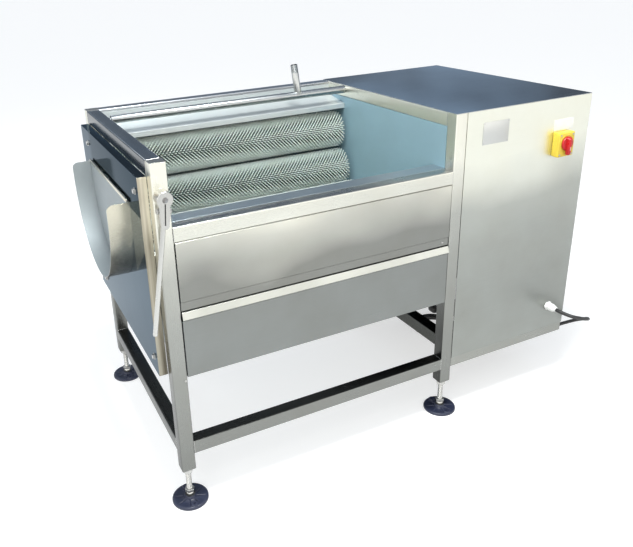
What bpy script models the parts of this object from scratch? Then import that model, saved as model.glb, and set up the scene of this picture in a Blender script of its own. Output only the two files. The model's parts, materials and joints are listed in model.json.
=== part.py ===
"""Roller vegetable washer: an open frame of square tube, six driven brush rollers lying in a U,
a spout with a swinging gate at the left end and a drive cabinet that hangs out at the right end.

Units are metres, +Z up. The machine is drawn from the left face of its left posts (x), the front
faces of its front posts (y) and the floor (z), and an empty moves it so that the middle of its
footprint is the origin. X runs along the rollers, from the spout to the cabinet.
"""
import math

import bmesh
import bpy
from mathutils import Matrix, Vector

# Clearances, and the least cosine of edges and faces that count as aligned
GAP = 0.0003
CUT = 0.010
ALIGNED = 0.5

# Square tube frame
TUBE = 0.040
TUBE_WALL = 0.002
TUBE_CORNER = 0.003
FRAME_TOP = 1.000
FRAME_DEPTH = 0.750
BAY_LENGTH = 0.885
CABINET_LENGTH = 0.525
POST_BOTTOM = 0.113
FRONT_RAIL_TOP = 0.835
LOW_RAIL_TOP = 0.203
SUPPORT_RAIL_TOP = 0.280

# Levelling feet
PAD_RADIUS = 0.052
PAD_HEIGHT = 0.016
PAD_RIM = 0.005
PAD_BOWL = 0.006
LUG_RADIUS = 0.011
LUG_HEIGHT = 0.003
LUG_PLACE = 0.038
LUG_HOLE = 0.004
SPINDLE_RADIUS = 0.008
SPINDLE_BALL = 0.011
SPINDLE_HEX = 0.014
SPINDLE_HEX_HEIGHT = 0.010
FOOT_NUT = 0.015
FOOT_NUT_HEIGHT = 0.012
SPINDLE_IN_POST = 0.030
PLUG_THICKNESS = 0.008
FERRULE_RADIUS = 0.014
FERRULE_HEIGHT = 0.006

# Sheet metal
SHEET = 0.0015
WALL_BOTTOM = 0.412
PAN_DEPTH = 0.024
RIGHT_WALL = 0.002
PANEL_DROP = 0.203
STRIP_DROP = 0.229
LOWER_DROP = 0.232
LIP_DROP = 0.252
STRIP_STEP = 0.003
PANEL_SLIT = 0.002
LIP_OUT = 0.006
PANEL_RETURN = 0.016

# Spout and gate
SPOUT_SIDE_ROOM = 0.146
SPOUT_SHEET = 0.002
SPOUT_CENTRE_Z = 0.824
SPOUT_TOP = 0.868
SPOUT_MOUTH = 0.084
SPOUT_INSIDE = 0.010
SPOUT_CORNER = 0.016
SPOUT_HOLE_GAP = 0.0006
GATE_CLEARANCE = 0.003
GATE_THICKNESS = 0.0015
GATE_STAND_OFF = 0.0035
GATE_TOP = 0.876
GATE_HEM = 0.004
GATE_HEM_HEIGHT = 0.010
GATE_LAP = 0.005
GATE_SHAFT_RADIUS = 0.008
GATE_SHAFT_X = 0.020
GATE_SHAFT_Z = 0.918
GATE_SHAFT_END = 0.015
GATE_ARM_WIDTH = 0.024
GATE_ARM_THICKNESS = 0.005
GATE_ARM_DROP = 0.021
GATE_ARM_INSET = 0.074

# Gate lever
HUB_RADIUS = 0.020
HUB_WIDTH = 0.0315
NECK_WIDTH = 0.024
NECK_BOTTOM = 0.846
SLOT_WIDTH = 0.003
SLOT_RISE = 0.014
LEVER_RADIUS = 0.00625
LEVER_LENGTH = 0.280
LEVER_LEAN = math.radians(10.8)

# Brush rollers
ROLLER_COUNT = 6
ROLLER_STEP = math.radians(30)
ROLLER_SIDE_ROOM = 0.110
ROLLER_ARC_Z = 0.840
BRUSH_GAP = 0.0112
STRAND_LENGTH = 0.021
BRUSH_START = 0.045
BRUSH_RIGHT_GAP = 0.010
SHAFT_RADIUS = 0.010
SHAFT_LEFT_OVERHANG = 0.010
SHAFT_RIGHT_OVERHANG = 0.071
SHAFT_SIDES = 12
STRAND_RINGS = 11
STRANDS_IN_RING = 5
STRAND_ROOT = 0.0095
STRAND_TIP = 0.0060
STRAND_SINK = 0.004
STRAND_SIDES = 3

# Roller bearings
BUSH_RADIUS = 0.0175
BUSH_END = 0.030
BEARING_RADIUS = 0.030
BEARING_HUB = 0.020
BEARING_PLATE = 0.006
BEARING_WIDTH = 0.014
BEARING_SIDES = 12

# Chain drive
CHAIN_PITCH = 0.0127
SPROCKET_TEETH = 17
SPROCKET_WIDTH = 0.007
SPROCKET_HUB_RADIUS = 0.017
SPROCKET_HUB_LENGTH = 0.012
TOOTH_HEIGHT = 0.0035
TOOTH_DEPTH = 0.0045
ROLLER_CHAIN_OFFSET = 0.043
MOTOR_CHAIN_OFFSET = 0.065
CHAIN_PLATE = 0.0015
CHAIN_HALF_HEIGHT = 0.006
CHAIN_SIDE_GAP = 0.0012
CHAIN_TIP_GAP = 0.0012
CHAIN_ARC_POINTS = 7

# Geared motor
MOTOR_AXIS_Z = 0.372
GEARBOX_OFFSET = 0.100
GEARBOX_LENGTH = 0.105
GEARBOX_HALF_WIDTH = 0.068
GEARBOX_FILLET = 0.012
MOTOR_RADIUS = 0.062
MOTOR_FIN = 0.007
MOTOR_FINS = 16
MOTOR_BODY_LENGTH = 0.150
FAN_COVER_LENGTH = 0.045
OUTPUT_RADIUS = 0.012
TERMINAL_BOX_LENGTH = 0.080
TERMINAL_BOX_WIDTH = 0.070
TERMINAL_BOX_HEIGHT = 0.032
BRACKET_THICKNESS = 0.004
BRACKET_HALF_WIDTH = 0.095
BRACKET_FOOT = 0.032
CROSS_RAIL_OFFSET = 0.265

# Cabinet
CABINET_BOTTOM = 0.197
BASE_RAIL_TOP = 0.205
VENT_COUNT = 6
VENT_LENGTH = 0.120
VENT_HEIGHT = 0.006
VENT_PITCH = 0.018
VENT_TOP = 0.480
UPRIGHT = 0.030

# Guards
GUARD_TOP = 0.955
GUARD_FLANGE_TOP = 0.990
GUARD_REACH = 0.110
GUARD_DROP = 0.020
GUARD_LIP = 0.015
FRONT_GUARD_REACH = 0.050
FRONT_GUARD_FLANGE = 0.030
FRONT_GUARD_LIP = 0.012

# Spray pipe
PIPE_RADIUS = 0.0130
PIPE_WALL = 0.0018
PIPE_FROM_BACK = 0.150
PIPE_Z = 0.986
PIPE_START = 0.050
PIPE_STUB = 0.006
INLET_FROM_WALL = 0.185
INLET_RADIUS = 0.0120
INLET_TOP = 1.091
SPRAY_HOLES = 12
SPRAY_HOLE_RADIUS = 0.002
SPRAY_END_ROOM = 0.067
SPRAY_TILT = math.radians(35)

# Drain hopper under the rollers
HOPPER_TOP = 0.490
HOPPER_FALL = 0.070
OUTLET_X = 0.260
OUTLET_RADIUS = 0.030
OUTLET_LENGTH = 0.050
HOPPER_THROAT = 0.090

# Switch, cord gland and cord
SWITCH_INSET = 0.1155
SWITCH_Z = 0.860
SWITCH_WIDTH = 0.065
SWITCH_HEIGHT = 0.076
SWITCH_DEPTH = 0.027
SWITCH_FILLET = 0.003
KNOB_Z = 0.864
KNOB_RADIUS = 0.022
KNOB_BASE = 0.006
KNOB_GRIP_DEPTH = 0.0105
KNOB_GRIP_WIDTH = 0.011
KNOB_POINT = 0.036
KNOB_TAIL = 0.020
GLAND_INSET = 0.079
GLAND_Z = 0.283
GLAND_RADIUS = 0.013
GLAND_HEX = 0.016
GLAND_LENGTH = 0.040
CORD_RADIUS = 0.006
CORD_STEP = 0.030
COIL_INSET = 0.190
COIL_FROM_BACK = 0.300
COIL_RADIUS = 0.066
COIL_PITCH = 0.0127
COIL_LAYER_TURNS = 2
COIL_LOOP_POINTS = 24
PLUG_LENGTH = 0.052
PLUG_RADIUS = 0.018
PIN_LENGTH = 0.019
PIN_RADIUS = 0.0024
PIN_SPREAD = 0.0095
GLAND_WALL = 0.0025
COIL_LEAD_OUT = 0.062
CORD_FINE = 12
CORD_ROUTE = (
    (0.012, -0.091, 0.280),
    (0.043, -0.110, 0.272),
    (0.079, -0.104, 0.258),
    (0.106, -0.076, 0.238),
    (0.115, -0.030, 0.208),
    (0.115, 0.030, 0.162),
    (0.115, 0.095, 0.108),
    (0.112, 0.160, 0.056),
    (0.102, 0.220, 0.021),
    (0.079, 0.272, 0.0066),
    (0.039, 0.310, 0.0063),
    (-0.001, 0.345, 0.0063),
    (-0.026, 0.385, 0.0063),
)

# Places worked out from the sizes
CABINET_RIGHT = BAY_LENGTH + CABINET_LENGTH
MID_POST_RIGHT = BAY_LENGTH + TUBE
PANEL_BREAK = FRONT_RAIL_TOP - PANEL_DROP
STRIP_BOTTOM = FRONT_RAIL_TOP - STRIP_DROP
LOWER_TOP = FRONT_RAIL_TOP - LOWER_DROP
LIP_BOTTOM = FRONT_RAIL_TOP - LIP_DROP
SPOUT_RADIUS = FRAME_DEPTH / 2 - SPOUT_SIDE_ROOM
GATE_ARM_SPREAD = SPOUT_RADIUS - GATE_ARM_INSET
ROLLER_ARC = FRAME_DEPTH / 2 - ROLLER_SIDE_ROOM
ROLLER_ARC_Y = FRAME_DEPTH / 2
BRUSH_RADIUS = ROLLER_ARC * math.sin(ROLLER_STEP / 2) - BRUSH_GAP / 2
CORE_RADIUS = BRUSH_RADIUS - STRAND_LENGTH
BRUSH_END = BAY_LENGTH - BRUSH_RIGHT_GAP
SHAFT_RIGHT = BAY_LENGTH + SHAFT_RIGHT_OVERHANG
ROLLER_CHAIN_X = BAY_LENGTH + ROLLER_CHAIN_OFFSET
MOTOR_CHAIN_X = BAY_LENGTH + MOTOR_CHAIN_OFFSET
MOTOR_AXIS_Y = FRAME_DEPTH / 2
GEARBOX_X = BAY_LENGTH + GEARBOX_OFFSET
CROSS_RAIL_X = BAY_LENGTH + CROSS_RAIL_OFFSET
BRACKET_LEG_X = CROSS_RAIL_X
PIPE_Y = FRAME_DEPTH - PIPE_FROM_BACK
INLET_X = BAY_LENGTH - INLET_FROM_WALL
SPRAY_PITCH = (BAY_LENGTH - PIPE_START - SPRAY_END_ROOM) / SPRAY_HOLES
SWITCH_X = CABINET_RIGHT - SWITCH_INSET
GLAND_X = CABINET_RIGHT - GLAND_INSET
COIL_X = CABINET_RIGHT - COIL_INSET
COIL_Y = FRAME_DEPTH - COIL_FROM_BACK
BACK_POST_Y = FRAME_DEPTH - TUBE
RAIL_BOTTOM = FRAME_TOP - TUBE
KNOB_FRONT = SWITCH_DEPTH + GAP + GAP + KNOB_BASE + KNOB_GRIP_DEPTH
FOOT_REACH = PAD_RADIUS - TUBE / 2
MACHINE_CENTRE_X = (CABINET_RIGHT - SPOUT_MOUTH) / 2
MACHINE_CENTRE_Y = (FRAME_DEPTH + FOOT_REACH - KNOB_FRONT) / 2
PITCH_RADIUS = CHAIN_PITCH / 2 / math.sin(math.pi / SPROCKET_TEETH)

X_AXIS = Vector((1, 0, 0))
Y_AXIS = Vector((0, 1, 0))
Z_AXIS = Vector((0, 0, 1))

# Colours, roughness and metallic value of each finish
FINISH = {
    "brushed steel": ((0.62, 0.62, 0.60), 0.38, 1.0),
    "polished steel": ((0.70, 0.70, 0.68), 0.16, 1.0),
    "navy plastic": ((0.012, 0.016, 0.035), 0.45, 0.0),
    "bristle": ((0.50, 0.62, 0.56), 0.60, 0.0),
    "cast steel": ((0.30, 0.31, 0.32), 0.50, 1.0),
    "motor paint": ((0.10, 0.22, 0.33), 0.45, 0.0),
    "yellow plastic": ((0.85, 0.66, 0.08), 0.40, 0.0),
    "red plastic": ((0.65, 0.02, 0.02), 0.35, 0.0),
    "white nylon": ((0.80, 0.80, 0.77), 0.50, 0.0),
    "black rubber": ((0.015, 0.015, 0.016), 0.55, 0.0),
}


def clear_scene():
    """Remove what an empty Blender file starts with."""
    for old in list(bpy.data.objects):
        bpy.data.objects.remove(old, do_unlink=True)


def make_collection(name):
    made = bpy.data.collections.new(name)
    bpy.context.scene.collection.children.link(made)
    return made


clear_scene()
PARTS = make_collection("roller_vegetable_washer")
CUTTERS = make_collection("cutters")


def make_empty(name, place, parent=None):
    empty = bpy.data.objects.new(name, None)
    empty.location = place
    empty.parent = parent
    PARTS.objects.link(empty)
    return empty


MACHINE = make_empty("machine", (-MACHINE_CENTRE_X, -MACHINE_CENTRE_Y, 0))


def finish(name):
    """The Principled material of one finish, made once."""
    known = bpy.data.materials.get(name)
    if known:
        return known
    colour, roughness, metallic = FINISH[name]
    made = bpy.data.materials.new(name)
    made.use_nodes = True
    shader = made.node_tree.nodes["Principled BSDF"]
    shader.inputs["Base Color"].default_value = (*colour, 1)
    shader.inputs["Roughness"].default_value = roughness
    shader.inputs["Metallic"].default_value = metallic
    made.diffuse_color = (*colour, 1)
    return made


def add_object(name, data, place=(0, 0, 0), parent=None):
    made = bpy.data.objects.new(name, data)
    made.location = place
    made.parent = parent or MACHINE
    PARTS.objects.link(made)
    return made


def dress(piece, look, smooth=False):
    """Give a piece its material, and smooth shading where it is round."""
    piece.data.materials.clear()
    piece.data.materials.append(finish(look))
    if smooth and piece.type == "MESH":
        piece.data.shade_smooth()
        piece.data.set_sharp_from_angle(angle=math.radians(35))
    return piece


def box(name, low, high, parent=None):
    """A block between two corners, with its origin at its centre."""
    low = Vector(low)
    high = Vector(high)
    shape = bmesh.new()
    bmesh.ops.create_cube(shape, size=1, matrix=Matrix.Diagonal((*(high - low), 1)))
    mesh = bpy.data.meshes.new(name)
    shape.to_mesh(mesh)
    shape.free()
    return add_object(name, mesh, (low + high) / 2, parent)


def rod(name, start, end, radius, sides=16, end_radius=None, parent=None):
    """A round bar or cone between two points, with its origin at its middle."""
    start = Vector(start)
    end = Vector(end)
    shape = bmesh.new()
    bmesh.ops.create_cone(
        shape,
        cap_ends=True,
        segments=sides,
        radius1=radius,
        radius2=radius if end_radius is None else end_radius,
        depth=(end - start).length,
        matrix=(end - start).to_track_quat("Z", "Y").to_matrix().to_4x4(),
    )
    mesh = bpy.data.meshes.new(name)
    shape.to_mesh(mesh)
    shape.free()
    return add_object(name, mesh, (start + end) / 2, parent)


def bore(name, start, end, radius, clearance, sides=SHAFT_SIDES):
    """A cutter for a hole whose flats stand clear of the bar that runs in it."""
    return rod(name, start, end, (radius + clearance) / math.cos(math.pi / sides), sides)


def settle(piece):
    """Turn a piece with modifiers, or a curve, into a plain mesh with its ends welded."""
    bpy.context.view_layer.update()
    graph = bpy.context.evaluated_depsgraph_get()
    mesh = bpy.data.meshes.new_from_object(piece.evaluated_get(graph), depsgraph=graph)
    shape = bmesh.new()
    shape.from_mesh(mesh)
    bmesh.ops.remove_doubles(shape, verts=shape.verts, dist=GAP / 10)
    bmesh.ops.recalc_face_normals(shape, faces=shape.faces)
    shape.to_mesh(mesh)
    shape.free()
    mesh.transform(piece.rotation_euler.to_matrix().to_4x4())
    name = piece.name
    parent = piece.parent
    place = piece.location.copy()
    bpy.data.objects.remove(piece, do_unlink=True)
    return add_object(name, mesh, place, parent)


def use_tool(piece, tool, operation):
    modifier = piece.modifiers.new(tool.name, "BOOLEAN")
    modifier.operation = operation
    modifier.solver = "EXACT"
    modifier.object = tool
    PARTS.objects.unlink(tool)
    CUTTERS.objects.link(tool)
    tool.hide_render = True
    tool.display_type = "WIRE"


def cut(piece, *tools):
    for tool in tools:
        use_tool(piece, tool, "DIFFERENCE")
    return piece


def join(piece, *tools):
    for tool in tools:
        use_tool(piece, tool, "UNION")
    return piece


def outline(name, points, thickness, turn=None, place=(0, 0, 0), parent=None, holes=()):
    """A flat plate: closed outlines in the curve's own plane, extruded both ways."""
    curve = bpy.data.curves.new(name, "CURVE")
    curve.dimensions = "2D"
    curve.fill_mode = "BOTH"
    curve.extrude = thickness / 2
    for loop in (points, *holes):
        spline = curve.splines.new("POLY")
        spline.points.add(len(loop) - 1)
        for point, (across, up) in zip(spline.points, loop):
            point.co = (across, up, 0, 1)
        spline.use_cyclic_u = True
    made = add_object(name, curve, place, parent)
    if turn:
        made.rotation_euler = turn
    return settle(made)


# A plate drawn as (y, z) faces along X, one drawn as (x, z) faces along Y
FACING_X = (math.pi / 2, 0, math.pi / 2)
FACING_Y = (math.pi / 2, 0, 0)


def arc(centre, radius, start, end, steps):
    """Points along an arc in a plane, angles in radians, both ends included."""
    turns = [start + (end - start) * step / steps for step in range(steps + 1)]
    return [(centre[0] + radius * math.cos(a), centre[1] + radius * math.sin(a)) for a in turns]


def folded(name, section, run, low, high, thickness, side=-1):
    """A folded sheet: a section of (a, b) points drawn across one axis and run along that axis.

    The sheet thickens to the left of the way its section is drawn, or to the right where side is 1.
    """
    shape = bmesh.new()
    rows = []
    levels = (high, low) if run == "y" else (low, high)
    for level in levels:
        row = []
        for a, b in section:
            corner = {"x": (level, a, b), "y": (a, level, b), "z": (a, b, level)}[run]
            row.append(shape.verts.new(corner))
        rows.append(row)
    for step in range(len(section) - 1):
        shape.faces.new((rows[0][step], rows[0][step + 1], rows[1][step + 1], rows[1][step]))
    mesh = bpy.data.meshes.new(name)
    shape.to_mesh(mesh)
    shape.free()
    made = add_object(name, mesh)
    thicken(made, thickness, side)
    return made


def thicken(piece, thickness, side):
    shell = piece.modifiers.new("sheet", "SOLIDIFY")
    shell.thickness = thickness
    shell.offset = side
    shell.use_even_offset = True


def turned(name, profile, sides, place=(0, 0, 0), turn=None, parent=None):
    """A turned piece: (radius, height) points from top to bottom, spun round its own Z axis."""
    mesh = bpy.data.meshes.new(name)
    points = [(radius, 0, height) for radius, height in profile]
    edges = [(step, step + 1) for step in range(len(points) - 1)]
    mesh.from_pydata(points, edges, [])
    made = add_object(name, mesh, place, parent)
    if turn:
        made.rotation_euler = turn
    spin = made.modifiers.new("spin", "SCREW")
    spin.steps = sides
    spin.render_steps = sides
    spin.use_merge_vertices = True
    spin.merge_threshold = GAP / 10
    return settle(made)


# Turns a piece drawn along Z so that its top points along X, or along -Y
ALONG_X = (0, math.pi / 2, 0)
ALONG_FRONT = (math.pi / 2, 0, 0)


def square_tube(name, low, high, along, capped_top=False):
    """A length of square tube, open at both ends or closed at its top."""
    low = Vector(low)
    high = Vector(high)
    axis = {"x": X_AXIS, "y": Y_AXIS, "z": Z_AXIS}[along]
    body = box(name, low, high)
    shape = bmesh.new()
    shape.from_mesh(body.data)
    long_edges = []
    for edge in shape.edges:
        run = (edge.verts[1].co - edge.verts[0].co).normalized()
        if abs(run.dot(axis)) > ALIGNED:
            long_edges.append(edge)
    bmesh.ops.bevel(
        shape,
        geom=long_edges,
        offset=TUBE_CORNER,
        segments=1,
        affect="EDGES",
    )
    shape.to_mesh(body.data)
    shape.free()
    across = Vector((1, 1, 1)) - axis
    inner_low = low + across * TUBE_WALL - axis * CUT
    inner_high = high - across * TUBE_WALL + axis * (-TUBE_WALL if capped_top else CUT)
    return cut(body, box(name + "_bore", inner_low, inner_high))


POST_PLACES = {
    "front_left": (0, 0),
    "back_left": (0, BACK_POST_Y),
    "front_mid": (BAY_LENGTH, 0),
    "back_mid": (BAY_LENGTH, BACK_POST_Y),
}


def make_posts():
    """Four posts, each with a plug and a ferrule at its foot; the left ones carry the gate shaft."""
    for corner, (x, y) in POST_PLACES.items():
        name = "post_" + corner
        low = (x, y, POST_BOTTOM)
        high = (x + TUBE, y + TUBE, FRAME_TOP)
        post = square_tube(name, low, high, "z", capped_top=True)
        centre = (x + TUBE / 2, y + TUBE / 2)
        inset = TUBE_WALL / 2
        plug = box(
            name + "_plug",
            (x + inset, y + inset, POST_BOTTOM),
            (x + TUBE - inset, y + TUBE - inset, POST_BOTTOM + PLUG_THICKNESS),
        )
        ferrule = rod(
            name + "_ferrule",
            (*centre, POST_BOTTOM - FERRULE_HEIGHT),
            (*centre, POST_BOTTOM + PLUG_THICKNESS / 2),
            FERRULE_RADIUS,
        )
        thread = bore(
            name + "_thread",
            (*centre, POST_BOTTOM - FERRULE_HEIGHT - CUT),
            (*centre, POST_BOTTOM + PLUG_THICKNESS + CUT),
            SPINDLE_RADIUS,
            GAP,
        )
        join(post, plug, ferrule)
        cut(post, thread)
        if corner.endswith("left"):
            hole = bore(
                name + "_shaft_hole",
                (GATE_SHAFT_X, y - CUT, GATE_SHAFT_Z),
                (GATE_SHAFT_X, y + TUBE + CUT, GATE_SHAFT_Z),
                GATE_SHAFT_RADIUS,
                GAP,
            )
            cut(post, hole)
        dress(post, "brushed steel")


def make_rails():
    """The five rails between the posts."""
    left = TUBE + GAP
    right = BAY_LENGTH - GAP
    front = TUBE + GAP
    back = BACK_POST_Y - GAP
    low_bottom = LOW_RAIL_TOP - TUBE
    rails = (
        ("rail_top_left", (0, front, RAIL_BOTTOM), (TUBE, back, FRAME_TOP), "y"),
        ("rail_low_left", (0, front, low_bottom), (TUBE, back, LOW_RAIL_TOP), "y"),
        ("rail_top_back", (left, BACK_POST_Y, RAIL_BOTTOM), (right, FRAME_DEPTH, FRAME_TOP), "x"),
        ("rail_front", (left, 0, FRONT_RAIL_TOP - TUBE), (right, TUBE, FRONT_RAIL_TOP), "x"),
        ("rail_low_front", (left, 0, low_bottom), (right, TUBE, LOW_RAIL_TOP), "x"),
    )
    for name, low, high, along in rails:
        dress(square_tube(name, low, high, along), "brushed steel")


def make_cabinet_frame():
    """The welded frame of the cabinet: support rail, top rail, base rails, cross rail, uprights."""
    front = TUBE + GAP
    back = BACK_POST_Y - GAP
    inside = SHEET + GAP
    left = MID_POST_RIGHT + GAP
    right = CABINET_RIGHT - inside
    low_front = inside
    low_back = FRAME_DEPTH - inside
    base_bottom = BASE_RAIL_TOP - TUBE
    top = FRAME_TOP
    frame = box("cabinet_frame", (left, low_front, base_bottom), (right, TUBE, BASE_RAIL_TOP))
    back_rail = box("base_back", (left, BACK_POST_Y, base_bottom), (right, low_back, BASE_RAIL_TOP))
    side_low = (right - TUBE, TUBE / 2, base_bottom)
    side_rail = box("base_right", side_low, (right, BACK_POST_Y + TUBE / 2, BASE_RAIL_TOP))
    cross_low = (CROSS_RAIL_X, TUBE / 2, base_bottom)
    cross_high = (CROSS_RAIL_X + TUBE, BACK_POST_Y + TUBE / 2, BASE_RAIL_TOP)
    cross_rail = box("base_cross", cross_low, cross_high)
    support_low = (BAY_LENGTH, front, SUPPORT_RAIL_TOP - TUBE)
    support = box("support", support_low, (MID_POST_RIGHT, back, SUPPORT_RAIL_TOP))
    tie_low = (MID_POST_RIGHT - TUBE_WALL, front, SUPPORT_RAIL_TOP - TUBE)
    tie_back = (MID_POST_RIGHT - TUBE_WALL, back - TUBE, SUPPORT_RAIL_TOP - TUBE)
    tie_size = Vector((TUBE + TUBE_WALL, TUBE, TUBE))
    tie_front = box("tie_front", tie_low, Vector(tie_low) + tie_size)
    tie_rear = box("tie_back", tie_back, Vector(tie_back) + tie_size)
    drop_low = Vector((left, TUBE / 2, base_bottom))
    drop_front = box("drop_front", drop_low, (left + TUBE, TUBE + TUBE, SUPPORT_RAIL_TOP))
    drop_back_low = (left, back - TUBE, base_bottom)
    drop_back_high = (left + TUBE, BACK_POST_Y + TUBE / 2, SUPPORT_RAIL_TOP)
    drop_back = box("drop_back", drop_back_low, drop_back_high)
    join(frame, back_rail, side_rail, cross_rail, drop_front, drop_back)
    join(frame, tie_front, tie_rear, support)
    for name, y in (("upright_front", low_front), ("upright_back", low_back - UPRIGHT)):
        foot = (right - UPRIGHT, y, BASE_RAIL_TOP - TUBE_WALL)
        upright = box(name, foot, (right, y + UPRIGHT, top))
        join(frame, upright)
    top_right_low = (right - UPRIGHT, low_front + UPRIGHT / 2, top - UPRIGHT)
    top_right = box("top_right", top_right_low, (right, low_back - UPRIGHT / 2, top))
    top_front_low = (left, low_front, top - UPRIGHT)
    top_front_high = (right - UPRIGHT / 2, low_front + UPRIGHT, top)
    top_front = box("top_front", top_front_low, top_front_high)
    top_back_low = (left, low_back - UPRIGHT, top - UPRIGHT)
    top_back_high = (right - UPRIGHT / 2, low_back, top)
    top_back = box("top_back", top_back_low, top_back_high)
    join(frame, top_right, top_front, top_back)
    dress(frame, "brushed steel")


def make_mid_top_rail():
    """The top rail between the mid posts, over the right wall."""
    low = (BAY_LENGTH, TUBE + GAP, RAIL_BOTTOM)
    high = (MID_POST_RIGHT, BACK_POST_Y - GAP, FRAME_TOP)
    dress(square_tube("rail_top_mid", low, high, "y"), "brushed steel")


def roller_places():
    """Shaft places (y, z), from the back of the trough round its bottom to the front."""
    places = []
    for index in range(ROLLER_COUNT):
        turn = -ROLLER_STEP * index
        y = ROLLER_ARC_Y + ROLLER_ARC * math.cos(turn)
        places.append((y, ROLLER_ARC_Z + ROLLER_ARC * math.sin(turn)))
    return places


def make_end_wall():
    """The polished pan of the discharge end, cut for the spout, with a bush for each roller."""
    low = Vector((-PAN_DEPTH, TUBE + GAP, WALL_BOTTOM))
    high = Vector((-GAP, BACK_POST_Y - GAP, RAIL_BOTTOM - GAP))
    pan = box("end_wall", low, high)
    shape = bmesh.new()
    shape.from_mesh(pan.data)
    open_side = [face for face in shape.faces if face.normal.x > ALIGNED]
    bmesh.ops.delete(shape, geom=open_side, context="FACES_ONLY")
    shape.to_mesh(pan.data)
    shape.free()
    thicken(pan, SHEET, -1)
    radius = SPOUT_RADIUS + SPOUT_HOLE_GAP
    half = radius
    lip = GATE_TOP - GATE_LAP
    mouth = [(ROLLER_ARC_Y - half, lip)]
    mouth += arc((ROLLER_ARC_Y, SPOUT_CENTRE_Z), radius, math.pi, 2 * math.pi, 24)
    mouth += [(ROLLER_ARC_Y + half, lip)]
    notch = outline("spout_notch", mouth, CUT, FACING_X, (-PAN_DEPTH, 0, 0))
    for index, (y, z) in enumerate(roller_places()):
        inner = -PAN_DEPTH + SHEET / 2
        bush = rod(f"bush_{index}", (inner, y, z), (BUSH_END, y, z), BUSH_RADIUS, BEARING_SIDES)
        join(pan, bush)
    for index, (y, z) in enumerate(roller_places()):
        start = -SHAFT_LEFT_OVERHANG - GAP
        end = (BUSH_END + CUT, y, z)
        cut(pan, bore(f"bush_bore_{index}", (start, y, z), end, SHAFT_RADIUS, GAP))
    cut(pan, notch)
    dress(pan, "polished steel")


def make_right_wall():
    """The wall between the trough and the cabinet, with a flange bearing for each roller."""
    low = Vector((BAY_LENGTH + GAP, TUBE + GAP, WALL_BOTTOM))
    high = Vector((BAY_LENGTH + GAP + RIGHT_WALL, BACK_POST_Y - GAP, RAIL_BOTTOM - GAP))
    wall = box("right_wall", low, high)
    face = high.x
    for index, (y, z) in enumerate(roller_places()):
        inner = face - RIGHT_WALL / 2
        profile = [
            (0, BEARING_WIDTH),
            (BEARING_HUB, BEARING_WIDTH),
            (BEARING_RADIUS, BEARING_PLATE),
            (BEARING_RADIUS, 0),
            (0, 0),
        ]
        bearing = turned(f"bearing_{index}", profile, BEARING_SIDES, (inner, y, z), ALONG_X)
        join(wall, bearing)
        start = (low.x - CUT, y, z)
        end = (inner + BEARING_WIDTH + CUT, y, z)
        cut(wall, bore(f"bearing_bore_{index}", start, end, SHAFT_RADIUS, GAP))
    dress(wall, "polished steel")


def make_back_panel():
    """The sheet that closes the back of the trough under the top rail, with folded edges."""
    outer = FRAME_DEPTH - TUBE / 2
    face = BACK_POST_Y
    top = RAIL_BOTTOM - GAP
    section = [
        (outer, top),
        (face, top),
        (face, WALL_BOTTOM),
        (outer, WALL_BOTTOM),
    ]
    panel = folded("back_panel", section, "x", TUBE + GAP, BAY_LENGTH - GAP, SHEET)
    dress(panel, "brushed steel")


def make_front_panels():
    """The two front sheets: the upper one steps back to a strip, the lower one has a drip lip."""
    left = TUBE + PANEL_SLIT
    right = BAY_LENGTH - PANEL_SLIT
    seat = FRONT_RAIL_TOP - TUBE - GAP
    upper = [
        (PANEL_RETURN, seat),
        (STRIP_STEP, seat),
        (0, seat - PANEL_SLIT),
        (0, PANEL_BREAK),
        (STRIP_STEP, PANEL_BREAK - STRIP_STEP),
        (STRIP_STEP, STRIP_BOTTOM),
        (PANEL_RETURN, STRIP_BOTTOM),
    ]
    lower = [
        (PANEL_RETURN, LOWER_TOP),
        (0, LOWER_TOP),
        (-LIP_OUT, LIP_BOTTOM),
        (0, LIP_BOTTOM - LIP_OUT),
        (0, WALL_BOTTOM),
        (PANEL_RETURN, WALL_BOTTOM),
    ]
    dress(folded("front_upper_panel", upper, "x", left, right, SHEET), "polished steel")
    dress(folded("front_lower_panel", lower, "x", left, right, SHEET), "polished steel")


def make_guards():
    """The splash guard along the back rail and the narrow guard along the front rail."""
    left = TUBE + GAP
    right = BAY_LENGTH - GAP
    back = BACK_POST_Y - GAP
    lip_y = back - GUARD_REACH
    lip_z = GUARD_TOP - GUARD_DROP
    splash = [
        (back, GUARD_FLANGE_TOP),
        (back, GUARD_TOP),
        (lip_y, lip_z),
        (lip_y, lip_z - GUARD_LIP),
    ]
    dress(folded("splash_guard", splash, "x", left, right, SHEET, 1), "polished steel")
    front = TUBE + GAP
    reach = TUBE + FRONT_GUARD_REACH
    guard = [
        (front, FRONT_RAIL_TOP - FRONT_GUARD_FLANGE),
        (front, FRONT_RAIL_TOP),
        (reach, FRONT_RAIL_TOP),
        (reach, FRONT_RAIL_TOP - FRONT_GUARD_LIP),
    ]
    dress(folded("front_guard", guard, "x", left, right, SHEET, 1), "polished steel")


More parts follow.
